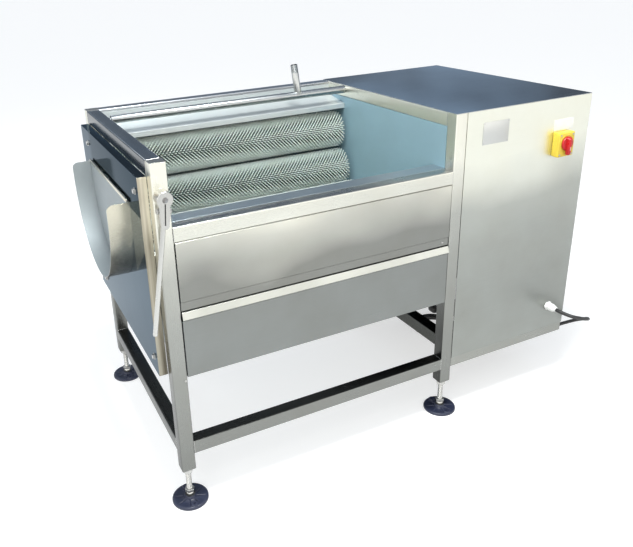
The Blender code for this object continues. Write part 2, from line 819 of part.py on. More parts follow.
def make_hopper():
    """The drain hopper under the rollers: an upright rim, then four slopes to one round outlet."""
    low = Vector((TUBE + GAP, PANEL_RETURN + GAP, WALL_BOTTOM))
    high = Vector((BAY_LENGTH - GAP, BACK_POST_Y - GAP, HOPPER_TOP))
    hopper = box("drain_hopper", low, high)
    shape = bmesh.new()
    shape.from_mesh(hopper.data)
    lid = [face for face in shape.faces if face.normal.z > ALIGNED]
    bmesh.ops.delete(shape, geom=lid, context="FACES_ONLY")
    floor = [face for face in shape.faces if face.normal.z < -ALIGNED]
    drawn = bmesh.ops.extrude_face_region(shape, geom=floor)["geom"]
    bmesh.ops.delete(shape, geom=floor, context="FACES_ONLY")
    centre = (low + high) / 2
    for vert in [item for item in drawn if isinstance(item, bmesh.types.BMVert)]:
        side_x = math.copysign(HOPPER_THROAT / 2, vert.co.x)
        side_y = math.copysign(HOPPER_THROAT / 2, vert.co.y)
        vert.co = Vector((OUTLET_X, ROLLER_ARC_Y, WALL_BOTTOM - HOPPER_FALL)) - centre
        vert.co += Vector((side_x, side_y, 0))
    shape.to_mesh(hopper.data)
    shape.free()
    thicken(hopper, SHEET, -1)
    mouth = WALL_BOTTOM - HOPPER_FALL
    pipe_end = (OUTLET_X, ROLLER_ARC_Y, mouth - OUTLET_LENGTH)
    join(hopper, rod("outlet", (OUTLET_X, ROLLER_ARC_Y, mouth + SHEET / 2), pipe_end, OUTLET_RADIUS, 24))
    bore_low = (OUTLET_X, ROLLER_ARC_Y, mouth - OUTLET_LENGTH - CUT)
    bore_high = (OUTLET_X, ROLLER_ARC_Y, mouth + CUT)
    cut(hopper, rod("outlet_bore", bore_low, bore_high, OUTLET_RADIUS - SPOUT_SHEET, 24))
    dress(hopper, "brushed steel")


def make_spout():
    """The U trough of the discharge, of sheet, with the two top corners of its mouth rounded."""
    radius = SPOUT_RADIUS
    section = [(ROLLER_ARC_Y - radius, SPOUT_TOP)]
    section += arc((ROLLER_ARC_Y, SPOUT_CENTRE_Z), radius, math.pi, 2 * math.pi, 24)
    section += [(ROLLER_ARC_Y + radius, SPOUT_TOP)]
    spout = folded("spout", section, "x", -SPOUT_MOUTH, -SPOUT_INSIDE, SPOUT_SHEET)
    shape = bmesh.new()
    shape.from_mesh(spout.data)
    top = [vert for vert in shape.verts if abs(vert.co.z - SPOUT_TOP) < GAP]
    corners = [vert for vert in top if vert.co.x < -PAN_DEPTH]
    bmesh.ops.bevel(
        shape,
        geom=corners,
        offset=SPOUT_CORNER,
        segments=4,
        profile=0.5,
        affect="VERTICES",
    )
    shape.to_mesh(spout.data)
    shape.free()
    dress(spout, "polished steel", smooth=True)


def hang_on(piece, axis):
    """Give a piece that was drawn in the machine's frame to the empty on its joint's axis."""
    piece.location -= axis.location
    piece.parent = axis
    return piece


def make_gate():
    """The U plate that closes the spout, its shaft with two bent arms and the lever on the front end."""
    axis = make_empty("gate_axis", (GATE_SHAFT_X, ROLLER_ARC_Y, GATE_SHAFT_Z), MACHINE)
    radius = SPOUT_RADIUS - SPOUT_SHEET - GATE_CLEARANCE
    face_x = -PAN_DEPTH - GATE_STAND_OFF
    shape = [(ROLLER_ARC_Y - radius, GATE_TOP)]
    shape += arc((ROLLER_ARC_Y, SPOUT_CENTRE_Z), radius, math.pi, 2 * math.pi, 24)
    shape += [(ROLLER_ARC_Y + radius, GATE_TOP)]
    plate_x = face_x - GATE_THICKNESS / 2
    plate = outline("gate_plate", shape, GATE_THICKNESS, FACING_X, (plate_x, 0, 0))
    hem_low = (face_x - GATE_HEM, ROLLER_ARC_Y - radius, GATE_TOP - GATE_HEM_HEIGHT)
    hem_high = (face_x - GATE_THICKNESS / 2, ROLLER_ARC_Y + radius, GATE_TOP)
    join(plate, box("gate_hem", hem_low, hem_high))
    dress(hang_on(plate, axis), "polished steel")

    back_end = (GATE_SHAFT_X, FRAME_DEPTH - GATE_SHAFT_END, GATE_SHAFT_Z)
    front_end = (GATE_SHAFT_X, -HUB_WIDTH, GATE_SHAFT_Z)
    shaft = rod("gate_shaft", front_end, back_end, GATE_SHAFT_RADIUS, SHAFT_SIDES)
    foot_x = face_x + GAP
    half = GATE_ARM_THICKNESS / 2
    elbow = GATE_TOP - GATE_LAP - GATE_ARM_DROP
    arm = [
        (GATE_SHAFT_X + half, GATE_SHAFT_Z),
        (GATE_SHAFT_X - half, GATE_SHAFT_Z),
        (GATE_SHAFT_X - half, elbow),
        (foot_x, elbow),
        (foot_x, elbow - GATE_ARM_WIDTH),
        (foot_x + half, elbow - GATE_ARM_WIDTH),
        (foot_x + half, elbow - GATE_ARM_THICKNESS),
        (GATE_SHAFT_X + half, elbow - GATE_ARM_THICKNESS),
    ]
    for side in (-1, 1):
        place = (0, ROLLER_ARC_Y + side * GATE_ARM_SPREAD, 0)
        join(shaft, outline(f"gate_arm_{side}", arm, GATE_ARM_WIDTH, FACING_Y, place))
    dress(hang_on(shaft, axis), "cast steel")

    hub = rod(
        "gate_lever",
        (GATE_SHAFT_X, -GAP, GATE_SHAFT_Z),
        (GATE_SHAFT_X, -GAP - HUB_WIDTH, GATE_SHAFT_Z),
        HUB_RADIUS,
        24,
    )
    neck_low = (GATE_SHAFT_X - NECK_WIDTH / 2, -GAP - HUB_WIDTH, NECK_BOTTOM)
    neck_high = (GATE_SHAFT_X + NECK_WIDTH / 2, -GAP, GATE_SHAFT_Z)
    middle = -GAP - HUB_WIDTH / 2
    grip_top = Vector((GATE_SHAFT_X, middle, NECK_BOTTOM + LEVER_RADIUS))
    down = Vector((-math.sin(LEVER_LEAN), 0, -math.cos(LEVER_LEAN)))
    grip = rod("lever_rod", grip_top, grip_top + down * LEVER_LENGTH, LEVER_RADIUS, SHAFT_SIDES)
    tip = grip_top + down * (LEVER_LENGTH - LEVER_RADIUS)
    end = tip + down * LEVER_RADIUS * 2
    end_cap = rod("lever_end", tip, end, LEVER_RADIUS, SHAFT_SIDES, LEVER_RADIUS / 2)
    join(hub, box("lever_neck", neck_low, neck_high), grip, end_cap)
    slot_low = (GATE_SHAFT_X - SLOT_WIDTH / 2, -HUB_WIDTH - CUT, NECK_BOTTOM + SLOT_RISE)
    slot_high = (GATE_SHAFT_X + SLOT_WIDTH / 2, CUT, GATE_SHAFT_Z)
    hole_start = (GATE_SHAFT_X, -HUB_WIDTH - CUT, GATE_SHAFT_Z)
    hole_end = (GATE_SHAFT_X, CUT, GATE_SHAFT_Z)
    hole = bore("lever_bore", hole_start, hole_end, GATE_SHAFT_RADIUS, GAP)
    cut(hub, hole, box("lever_slot", slot_low, slot_high))
    dress(hang_on(hub, axis), "polished steel")


def make_roller_mesh():
    """One brush roller about its own axis: shaft, core and rings of bristle strands."""
    profile = [
        (0, SHAFT_RIGHT),
        (SHAFT_RADIUS, SHAFT_RIGHT),
        (SHAFT_RADIUS, BRUSH_END),
        (CORE_RADIUS, BRUSH_END),
        (CORE_RADIUS, BRUSH_START),
        (SHAFT_RADIUS, BRUSH_START),
        (SHAFT_RADIUS, -SHAFT_LEFT_OVERHANG),
        (0, -SHAFT_LEFT_OVERHANG),
    ]
    core = turned("roller_core", profile, 2 * STRANDS_IN_RING, turn=ALONG_X)
    shape = bmesh.new()
    ring_pitch = (BRUSH_END - BRUSH_START) / STRAND_RINGS
    root = CORE_RADIUS - STRAND_SINK
    for ring in range(STRAND_RINGS):
        along = BRUSH_START + ring_pitch * (ring + 0.5)
        for strand in range(STRANDS_IN_RING):
            turn = 2 * math.pi * (strand + ring % 2 / 2 + 0.25) / STRANDS_IN_RING
            outward = Vector((0, math.cos(turn), math.sin(turn)))
            middle = X_AXIS * along + outward * (root + BRUSH_RADIUS) / 2
            aim = outward.to_track_quat("Z", "X").to_matrix().to_4x4()
            bmesh.ops.create_cone(
                shape,
                cap_ends=True,
                segments=STRAND_SIDES,
                radius1=STRAND_ROOT,
                radius2=STRAND_TIP,
                depth=BRUSH_RADIUS - root,
                matrix=Matrix.Translation(middle) @ aim,
            )
    mesh = bpy.data.meshes.new("roller_strands")
    shape.to_mesh(mesh)
    shape.free()
    strands = add_object("roller_strands", mesh)
    join(core, strands)
    whole = settle(core)
    bpy.data.objects.remove(strands, do_unlink=True)
    made = whole.data
    bpy.data.objects.remove(whole, do_unlink=True)
    return made


def make_rollers():
    """Six brush rollers lying in a U, all of one mesh, each turned on a little from the last."""
    mesh = make_roller_mesh()
    for index, (y, z) in enumerate(roller_places()):
        roller = add_object(f"brush_roller_{index + 1}", mesh, (0, y, z))
        roller.rotation_euler.x = math.pi / STRANDS_IN_RING / 2 * (index % 2)
        dress(roller, "bristle")


def sprocket_outline():
    """One valley and one tip for each tooth, about the sprocket's centre."""
    points = []
    tooth = 2 * math.pi / SPROCKET_TEETH
    root = PITCH_RADIUS - TOOTH_DEPTH
    tip = PITCH_RADIUS + TOOTH_HEIGHT
    for index in range(SPROCKET_TEETH):
        for radius, turn_share in ((root, 0), (tip, 0.5)):
            turn = tooth * (index + turn_share)
            points.append((radius * math.cos(turn), radius * math.sin(turn)))
    return points


def make_sprocket(name, place, shaft_radius):
    """A toothed disc with a hub on its left side, bored for its shaft."""
    x, y, z = place
    disc = outline(name, sprocket_outline(), SPROCKET_WIDTH, FACING_X, place)
    hub_left = x - SPROCKET_WIDTH / 2 - SPROCKET_HUB_LENGTH
    join(disc, rod(name + "_hub", (hub_left, y, z), (x, y, z), SPROCKET_HUB_RADIUS, SHAFT_SIDES))
    if shaft_radius:
        right = (x + SPROCKET_WIDTH / 2 + CUT, y, z)
        cut(disc, bore(name + "_bore", (hub_left - CUT, y, z), right, shaft_radius, GAP))
    return disc


def chain_loop(centres, radius):
    """A closed line that a chain follows at one radius round sprockets listed anticlockwise."""
    count = len(centres)
    normals = []
    for index in range(count):
        here = Vector(centres[index])
        ahead = Vector(centres[(index + 1) % count])
        run = (ahead - here).normalized()
        normals.append(math.atan2(-run.x, run.y))
    points = []
    for index in range(count):
        first = normals[index - 1]
        turn = (normals[index] - first) % (2 * math.pi)
        steps = max(2, math.ceil(turn / math.radians(180 / CHAIN_ARC_POINTS)))
        points += arc(centres[index], radius, first, first + turn, steps)
    return points


def make_chain(name, x, centres):
    """A chain: two rows of side plates with the backs of its links between them."""
    outer = PITCH_RADIUS + CHAIN_HALF_HEIGHT
    inner = PITCH_RADIUS - CHAIN_HALF_HEIGHT
    roof = PITCH_RADIUS + TOOTH_HEIGHT + CHAIN_TIP_GAP
    rim = chain_loop(centres, outer)
    side = SPROCKET_WIDTH / 2 + CHAIN_SIDE_GAP + CHAIN_PLATE / 2
    hollow = [chain_loop(centres, inner)]
    chain = outline(name, rim, CHAIN_PLATE, FACING_X, (x - side, 0, 0), holes=hollow)
    far = outline(name + "_far", rim, CHAIN_PLATE, FACING_X, (x + side, 0, 0), holes=hollow)
    hollow = [chain_loop(centres, roof)]
    backs = outline(name + "_backs", rim, 2 * side, FACING_X, (x, 0, 0), holes=hollow)
    join(chain, far, backs)
    dress(chain, "cast steel")


def make_drive():
    """Sprockets on the shafts, the two chains and the geared motor on its bracket."""
    places = roller_places()
    for index, (y, z) in enumerate(places):
        name = f"roller_sprocket_{index + 1}"
        dress(make_sprocket(name, (ROLLER_CHAIN_X, y, z), SHAFT_RADIUS), "cast steel")
    lowest = places[ROLLER_COUNT // 2]
    driven = make_sprocket("driven_sprocket", (MOTOR_CHAIN_X, *lowest), SHAFT_RADIUS)
    dress(driven, "cast steel")

    output = (MOTOR_AXIS_Y, MOTOR_AXIS_Z)
    drive = make_sprocket("drive_sprocket", (MOTOR_CHAIN_X, *output), 0)
    shaft_end = (GEARBOX_X + GEARBOX_LENGTH / 4, *output)
    join(drive, rod("output_shaft", (MOTOR_CHAIN_X, *output), shaft_end, OUTPUT_RADIUS, SHAFT_SIDES))
    dress(drive, "cast steel")
    make_chain("roller_chain", ROLLER_CHAIN_X, list(reversed(places)))
    make_chain("motor_chain", MOTOR_CHAIN_X, [output, lowest])

    shelf = SUPPORT_RAIL_TOP + GAP
    foot = BASE_RAIL_TOP + GAP
    section = [
        (BAY_LENGTH + TUBE_CORNER, shelf),
        (BRACKET_LEG_X, shelf),
        (BRACKET_LEG_X, foot),
        (BRACKET_LEG_X + BRACKET_FOOT, foot),
    ]
    front = MOTOR_AXIS_Y - BRACKET_HALF_WIDTH
    back = MOTOR_AXIS_Y + BRACKET_HALF_WIDTH
    bracket = folded("motor_bracket", section, "y", front, back, BRACKET_THICKNESS)
    dress(bracket, "brushed steel")
    make_gear_motor(shelf + BRACKET_THICKNESS + GAP)


def make_gear_motor(foot_z):
    """Gearbox on its foot, finned motor body, fan cover and terminal box, all one casting."""
    half = GEARBOX_HALF_WIDTH
    right = GEARBOX_X + GEARBOX_LENGTH
    low = (GEARBOX_X, MOTOR_AXIS_Y - half, foot_z)
    motor = box("gear_motor", low, (right, MOTOR_AXIS_Y + half, MOTOR_AXIS_Z + half))
    edges = motor.modifiers.new("edges", "BEVEL")
    edges.width = GEARBOX_FILLET
    edges.segments = 2
    fin_turn = math.pi / MOTOR_FINS
    fins = []
    for index in range(2 * MOTOR_FINS):
        radius = MOTOR_RADIUS if index % 2 else MOTOR_RADIUS - MOTOR_FIN
        for turn in (fin_turn * index, fin_turn * (index + 1)):
            fins.append((radius * math.cos(turn), radius * math.sin(turn)))
    body_x = right + MOTOR_BODY_LENGTH / 2 - CUT / 2
    place = (body_x, MOTOR_AXIS_Y, MOTOR_AXIS_Z)
    body = outline("motor_body", fins, MOTOR_BODY_LENGTH + CUT, FACING_X, place)
    fan_start = right + MOTOR_BODY_LENGTH - CUT
    profile = [
        (0, FAN_COVER_LENGTH + CUT),
        (MOTOR_RADIUS - MOTOR_FIN, FAN_COVER_LENGTH + CUT),
        (MOTOR_RADIUS + SHEET, FAN_COVER_LENGTH),
        (MOTOR_RADIUS + SHEET, 0),
        (0, 0),
    ]
    cover = turned("fan_cover", profile, 24, (fan_start, MOTOR_AXIS_Y, MOTOR_AXIS_Z), ALONG_X)
    box_x = right + MOTOR_BODY_LENGTH / 2
    roof = MOTOR_AXIS_Z + MOTOR_RADIUS
    terminal_low = (box_x - TERMINAL_BOX_LENGTH / 2, MOTOR_AXIS_Y - TERMINAL_BOX_WIDTH / 2, roof - CUT)
    terminal_high = (
        box_x + TERMINAL_BOX_LENGTH / 2,
        MOTOR_AXIS_Y + TERMINAL_BOX_WIDTH / 2,
        roof + TERMINAL_BOX_HEIGHT,
    )
    join(motor, body, cover, box("terminal_box", terminal_low, terminal_high))
    socket_start = (GEARBOX_X - CUT, MOTOR_AXIS_Y, MOTOR_AXIS_Z)
    socket_end = (GEARBOX_X + GEARBOX_LENGTH / 4 + GAP, MOTOR_AXIS_Y, MOTOR_AXIS_Z)
    cut(motor, bore("output_socket", socket_start, socket_end, OUTPUT_RADIUS, GAP))
    dress(motor, "motor paint")


def make_cabinet_panels():
    """Front, right, back and top sheets of the drive cabinet; its bottom is open."""
    left = MID_POST_RIGHT + GAP
    top = FRAME_TOP
    front = [(left, 0), (CABINET_RIGHT, 0), (CABINET_RIGHT, TUBE / 2)]
    sheet = folded("cabinet_front_panel", front, "z", CABINET_BOTTOM, top, SHEET)
    dress(sheet, "brushed steel")
    back = [
        (left, FRAME_DEPTH),
        (CABINET_RIGHT, FRAME_DEPTH),
        (CABINET_RIGHT, FRAME_DEPTH - TUBE / 2),
    ]
    sheet = folded("cabinet_back_panel", back, "z", CABINET_BOTTOM, top, SHEET, 1)
    middle = (left + CABINET_RIGHT) / 2
    for index in range(VENT_COUNT):
        level = VENT_TOP - VENT_PITCH * index
        low = (middle - VENT_LENGTH / 2, FRAME_DEPTH - CUT, level - VENT_HEIGHT)
        high = (middle + VENT_LENGTH / 2, FRAME_DEPTH + CUT, level)
        cut(sheet, box(f"vent_{index}", low, high))
    dress(sheet, "brushed steel")
    low = (CABINET_RIGHT - SHEET, TUBE / 2 + GAP, CABINET_BOTTOM)
    high = (CABINET_RIGHT, FRAME_DEPTH - TUBE / 2 - GAP, top)
    dress(box("cabinet_right_panel", low, high), "brushed steel")
    low = (BAY_LENGTH, 0, FRAME_TOP + GAP)
    high = (CABINET_RIGHT, FRAME_DEPTH, FRAME_TOP + GAP + SHEET)
    dress(box("cabinet_top_panel", low, high), "polished steel")


def make_spray_pipe():
    """The perforated water pipe with its upright inlet and the stub that holds its left end."""
    end = BAY_LENGTH - GAP
    pipe = rod("spray_pipe", (PIPE_START, PIPE_Y, PIPE_Z), (end, PIPE_Y, PIPE_Z), PIPE_RADIUS)
    stub_start = (TUBE + GAP, PIPE_Y, PIPE_Z)
    stub_end = (PIPE_START + PIPE_WALL / 2, PIPE_Y, PIPE_Z)
    inlet_foot = (INLET_X, PIPE_Y, PIPE_Z)
    inlet_top = (INLET_X, PIPE_Y, INLET_TOP)
    join(pipe, rod("pipe_stub", stub_start, stub_end, PIPE_STUB, SHAFT_SIDES))
    join(pipe, rod("inlet", inlet_foot, inlet_top, INLET_RADIUS))
    inside_start = (PIPE_START + PIPE_WALL, PIPE_Y, PIPE_Z)
    inside_end = (end - PIPE_WALL, PIPE_Y, PIPE_Z)
    above = (INLET_X, PIPE_Y, INLET_TOP + CUT)
    cut(pipe, rod("pipe_inside", inside_start, inside_end, PIPE_RADIUS - PIPE_WALL, 12))
    cut(pipe, rod("inlet_inside", inlet_foot, above, INLET_RADIUS - PIPE_WALL, 12))
    first = (PIPE_START + end - SPRAY_PITCH * (SPRAY_HOLES - 1)) / 2
    outward = Vector((0, -math.sin(SPRAY_TILT), -math.cos(SPRAY_TILT)))
    for index in range(SPRAY_HOLES):
        centre = Vector((first + SPRAY_PITCH * index, PIPE_Y, PIPE_Z))
        jet_end = centre + outward * (PIPE_RADIUS + CUT)
        cut(pipe, rod(f"jet_{index}", centre, jet_end, SPRAY_HOLE_RADIUS, 5))
    dress(pipe, "polished steel", smooth=True)


def make_foot(number, x, y):
    """One levelling foot: a dished pad with two bolt lugs, and a spindle with collar and nut."""
    profile = [
        (0, PAD_HEIGHT),
        (SPINDLE_BALL + PAD_RIM, PAD_HEIGHT),
        (SPINDLE_BALL + PAD_RIM + PAD_BOWL / 2, PAD_BOWL),
        (PAD_RADIUS - PAD_BOWL, PAD_BOWL + PAD_RIM / 2),
        (PAD_RADIUS, PAD_RIM),
        (PAD_RADIUS, 0),
        (0, 0),
    ]
    axis = make_empty(f"foot_axis_{number}", (x, y, 0), MACHINE)
    pad = turned(f"foot_pad_{number}", profile, 20, parent=axis)
    for side in (-1, 1):
        lug_y = y + side * LUG_PLACE
        lug_top = PAD_BOWL + PAD_RIM / 2 + LUG_HEIGHT
        lug_foot = (x, lug_y, PAD_RIM / 2)
        join(pad, rod(f"lug_{number}_{side}", lug_foot, (x, lug_y, lug_top), LUG_RADIUS, 10))
        hole_low = (x, lug_y, -CUT)
        cut(pad, rod(f"hole_{number}_{side}", hole_low, (x, lug_y, lug_top + CUT), LUG_HOLE, 8))
    dress(pad, "navy plastic")

    collar = PAD_HEIGHT + SPINDLE_BALL
    nut_top = POST_BOTTOM - FERRULE_HEIGHT - GAP
    shank = [
        (0, POST_BOTTOM + SPINDLE_IN_POST),
        (SPINDLE_RADIUS, POST_BOTTOM + SPINDLE_IN_POST),
        (SPINDLE_RADIUS, collar),
        (SPINDLE_BALL, collar - SPINDLE_BALL / 2),
        (SPINDLE_BALL, PAD_HEIGHT + GAP),
        (0, PAD_HEIGHT + GAP),
    ]
    spindle = turned(f"foot_spindle_{number}", shank, 12, parent=axis)
    hex_low = (x, y, collar)
    hex_high = (x, y, collar + SPINDLE_HEX_HEIGHT)
    nut_low = (x, y, nut_top - FOOT_NUT_HEIGHT)
    join(spindle, rod(f"collar_{number}", hex_low, hex_high, SPINDLE_HEX, 6))
    join(spindle, rod(f"nut_{number}", nut_low, (x, y, nut_top), FOOT_NUT, 6))
    dress(spindle, "polished steel")


def make_feet():
    for number, (x, y) in enumerate(POST_PLACES.values(), start=1):
        make_foot(number, x + TUBE / 2, y + TUBE / 2)


def make_switch():
    """The rotary switch: a shallow box on the cabinet front and a knob with a pointed grip."""
    low = (SWITCH_X - SWITCH_WIDTH / 2, -GAP - SWITCH_DEPTH, SWITCH_Z - SWITCH_HEIGHT / 2)
    high = (SWITCH_X + SWITCH_WIDTH / 2, -GAP, SWITCH_Z + SWITCH_HEIGHT / 2)
    base = box("switch_base", low, high)
    edges = base.modifiers.new("edges", "BEVEL")
    edges.width = SWITCH_FILLET
    edges.segments = 2
    dress(base, "yellow plastic")

    face = -SWITCH_DEPTH - GAP - GAP
    knob_start = (SWITCH_X, face, KNOB_Z)
    knob = rod("switch_knob", knob_start, (SWITCH_X, face - KNOB_BASE, KNOB_Z), KNOB_RADIUS, 28)
    half = KNOB_GRIP_WIDTH / 2
    grip = [
        (-half, KNOB_TAIL - half),
        (0, KNOB_TAIL),
        (half, KNOB_TAIL - half),
        (half, half - KNOB_POINT),
        (0, -KNOB_POINT),
        (-half, half - KNOB_POINT),
    ]
    grip_y = face - KNOB_BASE / 2 - KNOB_GRIP_DEPTH / 2
    place = (SWITCH_X, grip_y, KNOB_Z)
    join(knob, outline("knob_grip", grip, KNOB_GRIP_DEPTH + KNOB_BASE, FACING_Y, place))
    dress(knob, "red plastic")


def smooth_route(stations, step):
    """Points a step apart on a smooth curve through a route's own points.

    The stretch from the first point to the second, and the last stretch, stay straight.
    """
    fine = []
    for index in range(1, len(stations) - 2):
        before, start, end, after = stations[index - 1 : index + 3]
        for part in range(CORD_FINE):
            t = part / CORD_FINE
            point = 2 * start + (end - before) * t
            point += (2 * before - 5 * start + 4 * end - after) * t * t
            point += (3 * start - 3 * end + after - before) * t * t * t
            fine.append(point / 2)
    fine.append(stations[-2])
    lengths = [0]
    for index in range(1, len(fine)):
        lengths.append(lengths[-1] + (fine[index] - fine[index - 1]).length)
    count = round(lengths[-1] / step)
    picked = [stations[0]]
    at = 0
    for number in range(count + 1):
        target = lengths[-1] * number / count
        while at < len(fine) - 2 and lengths[at + 1] < target:
            at += 1
        span = lengths[at + 1] - lengths[at]
        picked.append(fine[at].lerp(fine[at + 1], (target - lengths[at]) / span))
    picked.append(stations[-1])
    return picked


def cord_tube(name, points, resolution):
    """A round cord along its points, closed at both ends."""
    curve = bpy.data.curves.new(name, "CURVE")
    curve.dimensions = "3D"
    curve.bevel_depth = CORD_RADIUS
    curve.bevel_resolution = resolution
    curve.use_fill_caps = True
    spline = curve.splines.new("POLY")
    spline.points.add(len(points) - 1)
    for point, place in zip(spline.points, points):
        point.co = (*place, 1)
    return dress(settle(add_object(name, curve)), "black rubber", smooth=True)


def coil_points():
    """Two flat layers of turns: in along the lower one, up where the spiral turns, out on top."""
    turns = 2 * COIL_LAYER_TURNS
    middle = COIL_LAYER_TURNS * 2 * math.pi
    inner = COIL_RADIUS - COIL_PITCH * COIL_LAYER_TURNS / 2
    floor = CORD_RADIUS + GAP
    points = []
    for index in range(turns * COIL_LOOP_POINTS + 1):
        turn = 2 * math.pi * index / COIL_LOOP_POINTS
        radius = inner + COIL_PITCH * abs(turn - middle) / (2 * math.pi)
        climb = min(max((turn - middle) / math.pi + 0.5, 0), 1)
        x = COIL_X + radius * math.cos(turn)
        points.append(Vector((x, COIL_Y + radius * math.sin(turn), floor + COIL_PITCH * climb)))
    return points


def least_gap(points, diameter):
    """The least gap between the turns of a coiled cord, measured from point to point."""
    apart = COIL_LOOP_POINTS // 2
    least = min(
        (points[b] - points[a]).length
        for a in range(len(points))
        for b in range(a + apart, len(points))
    )
    return least - diameter


def make_cord():
    """Gland, cord, coil and plug: the cord leaves the gland forward, turns back and lies down."""
    profile = [
        (0, GLAND_LENGTH),
        (CORD_RADIUS + GLAND_WALL, GLAND_LENGTH),
        (GLAND_RADIUS, GLAND_LENGTH - GLAND_RADIUS),
        (GLAND_RADIUS, 0),
        (0, 0),
    ]
    gland = turned("cord_gland", profile, 20, (GLAND_X, -GAP, GLAND_Z), ALONG_FRONT)
    hex_start = (GLAND_X, -GAP, GLAND_Z)
    hex_end = (GLAND_X, -GAP - GLAND_HEX / 2, GLAND_Z)
    join(gland, rod("gland_hex", hex_start, hex_end, GLAND_HEX, 6))
    dress(gland, "white nylon")

    coil = coil_points()
    straight = Y_AXIS * CORD_RADIUS * 2
    coil_start = coil[0] - straight
    coil_end = coil[-1] + Y_AXIS * COIL_LEAD_OUT
    print(f"Least gap between coil turns: {least_gap(coil, CORD_RADIUS * 2) * 1000:.2f} mm")
    cord_tube("cord_coil", [coil_start, *coil, coil_end - straight, coil_end], 1)

    gland_mouth = Vector((GLAND_X, -GAP - GLAND_LENGTH - GAP, GLAND_Z))
    run_end = coil_start - Y_AXIS * GAP
    stations = [gland_mouth, gland_mouth - straight]
    stations += [Vector((GLAND_X + x, y, z)) for x, y, z in CORD_ROUTE]
    stations += [run_end - straight, run_end]
    cord_tube("cord_run", smooth_route(stations, CORD_STEP), 2)

    plug_y = coil_end.y + GAP
    body = [
        (0, PLUG_LENGTH),
        (PLUG_RADIUS, PLUG_LENGTH),
        (PLUG_RADIUS, PLUG_LENGTH / 2),
        (CORD_RADIUS + GLAND_WALL, PLUG_LENGTH / 4),
        (CORD_RADIUS + GLAND_WALL, 0),
        (0, 0),
    ]
    turn = (-math.pi / 2, 0, 0)
    plug = turned("cord_plug", body, 20, (coil_end.x, plug_y, coil_end.z), turn)
    for side in (-1, 1):
        pin_x = coil_end.x + side * PIN_SPREAD
        face = plug_y + PLUG_LENGTH
        start = (pin_x, face - PIN_LENGTH / 2, coil_end.z)
        join(plug, rod(f"pin_{side}", start, (pin_x, face + PIN_LENGTH, coil_end.z), PIN_RADIUS, 8))
    dress(plug, "black rubber")


def build():
    make_posts()
    make_rails()
    make_mid_top_rail()
    make_cabinet_frame()
    make_end_wall()
    make_right_wall()
    make_back_panel()
    make_front_panels()
    make_guards()
    make_hopper()
    make_spray_pipe()
    make_spout()
    make_gate()
    make_rollers()
    make_drive()
    make_cabinet_panels()
    make_feet()
    make_switch()
    make_cord()


build()
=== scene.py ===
"""Looks of the roller vegetable washer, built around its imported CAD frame."""
import json
import random
from math import asin, copysign, cos, dist, hypot, pi, radians, sin, sqrt

import bmesh
import bpy
from mathutils import Euler, Matrix, Vector


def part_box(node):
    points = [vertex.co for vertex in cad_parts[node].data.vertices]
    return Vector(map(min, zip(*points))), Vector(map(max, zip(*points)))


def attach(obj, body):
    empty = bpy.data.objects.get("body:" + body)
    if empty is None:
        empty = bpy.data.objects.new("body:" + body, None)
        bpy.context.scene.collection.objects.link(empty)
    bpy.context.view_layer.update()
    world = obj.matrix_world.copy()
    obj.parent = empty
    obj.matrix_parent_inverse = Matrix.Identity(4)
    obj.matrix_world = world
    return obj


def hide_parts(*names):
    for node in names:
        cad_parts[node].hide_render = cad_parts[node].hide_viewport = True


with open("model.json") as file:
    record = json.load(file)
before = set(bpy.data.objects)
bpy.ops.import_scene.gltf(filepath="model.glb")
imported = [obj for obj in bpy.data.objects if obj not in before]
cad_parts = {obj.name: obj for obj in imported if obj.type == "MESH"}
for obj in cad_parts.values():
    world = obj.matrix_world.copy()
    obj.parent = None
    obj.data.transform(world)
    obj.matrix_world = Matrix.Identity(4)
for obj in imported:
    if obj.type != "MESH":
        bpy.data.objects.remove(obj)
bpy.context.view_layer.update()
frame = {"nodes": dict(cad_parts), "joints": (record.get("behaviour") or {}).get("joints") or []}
NODES = frame["nodes"]

# Machine frame: left face of the left posts, front face of the front posts, floor
LEG_LOW, LEG_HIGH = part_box("post_front_left")
ORIGIN = Vector((LEG_LOW.x, LEG_LOW.y, 0))
TUBE = LEG_HIGH.x - LEG_LOW.x
MM = 0.001
X_RUN, Y_RUN, Z_RUN = range(3)
RIGHT, LEFT = (1, 0, 0), (-1, 0, 0)
BACK, FRONT = (0, 1, 0), (0, -1, 0)
UP, DOWN = (0, 0, 1), (0, 0, -1)
X_AXIS, Y_AXIS = Vector(RIGHT), Vector(BACK)


def at(x, y, z):
    """A point of the machine frame in world metres."""
    return ORIGIN + Vector((x, y, z))


def mm(*points):
    """Points given in millimetres, in metres."""
    return [tuple(value * MM for value in point) for point in points]


def joint_place(name):
    """Where a joint lies."""
    return Vector(next(joint["pos_m"] for joint in frame["joints"] if joint["name"] == name))


# Materials

FACTOR, COLOUR_A, COLOUR_B, MIXED = 0, 6, 7, 2
BEVEL_SAMPLES = 4
EVENLY = (1, 1, 1)


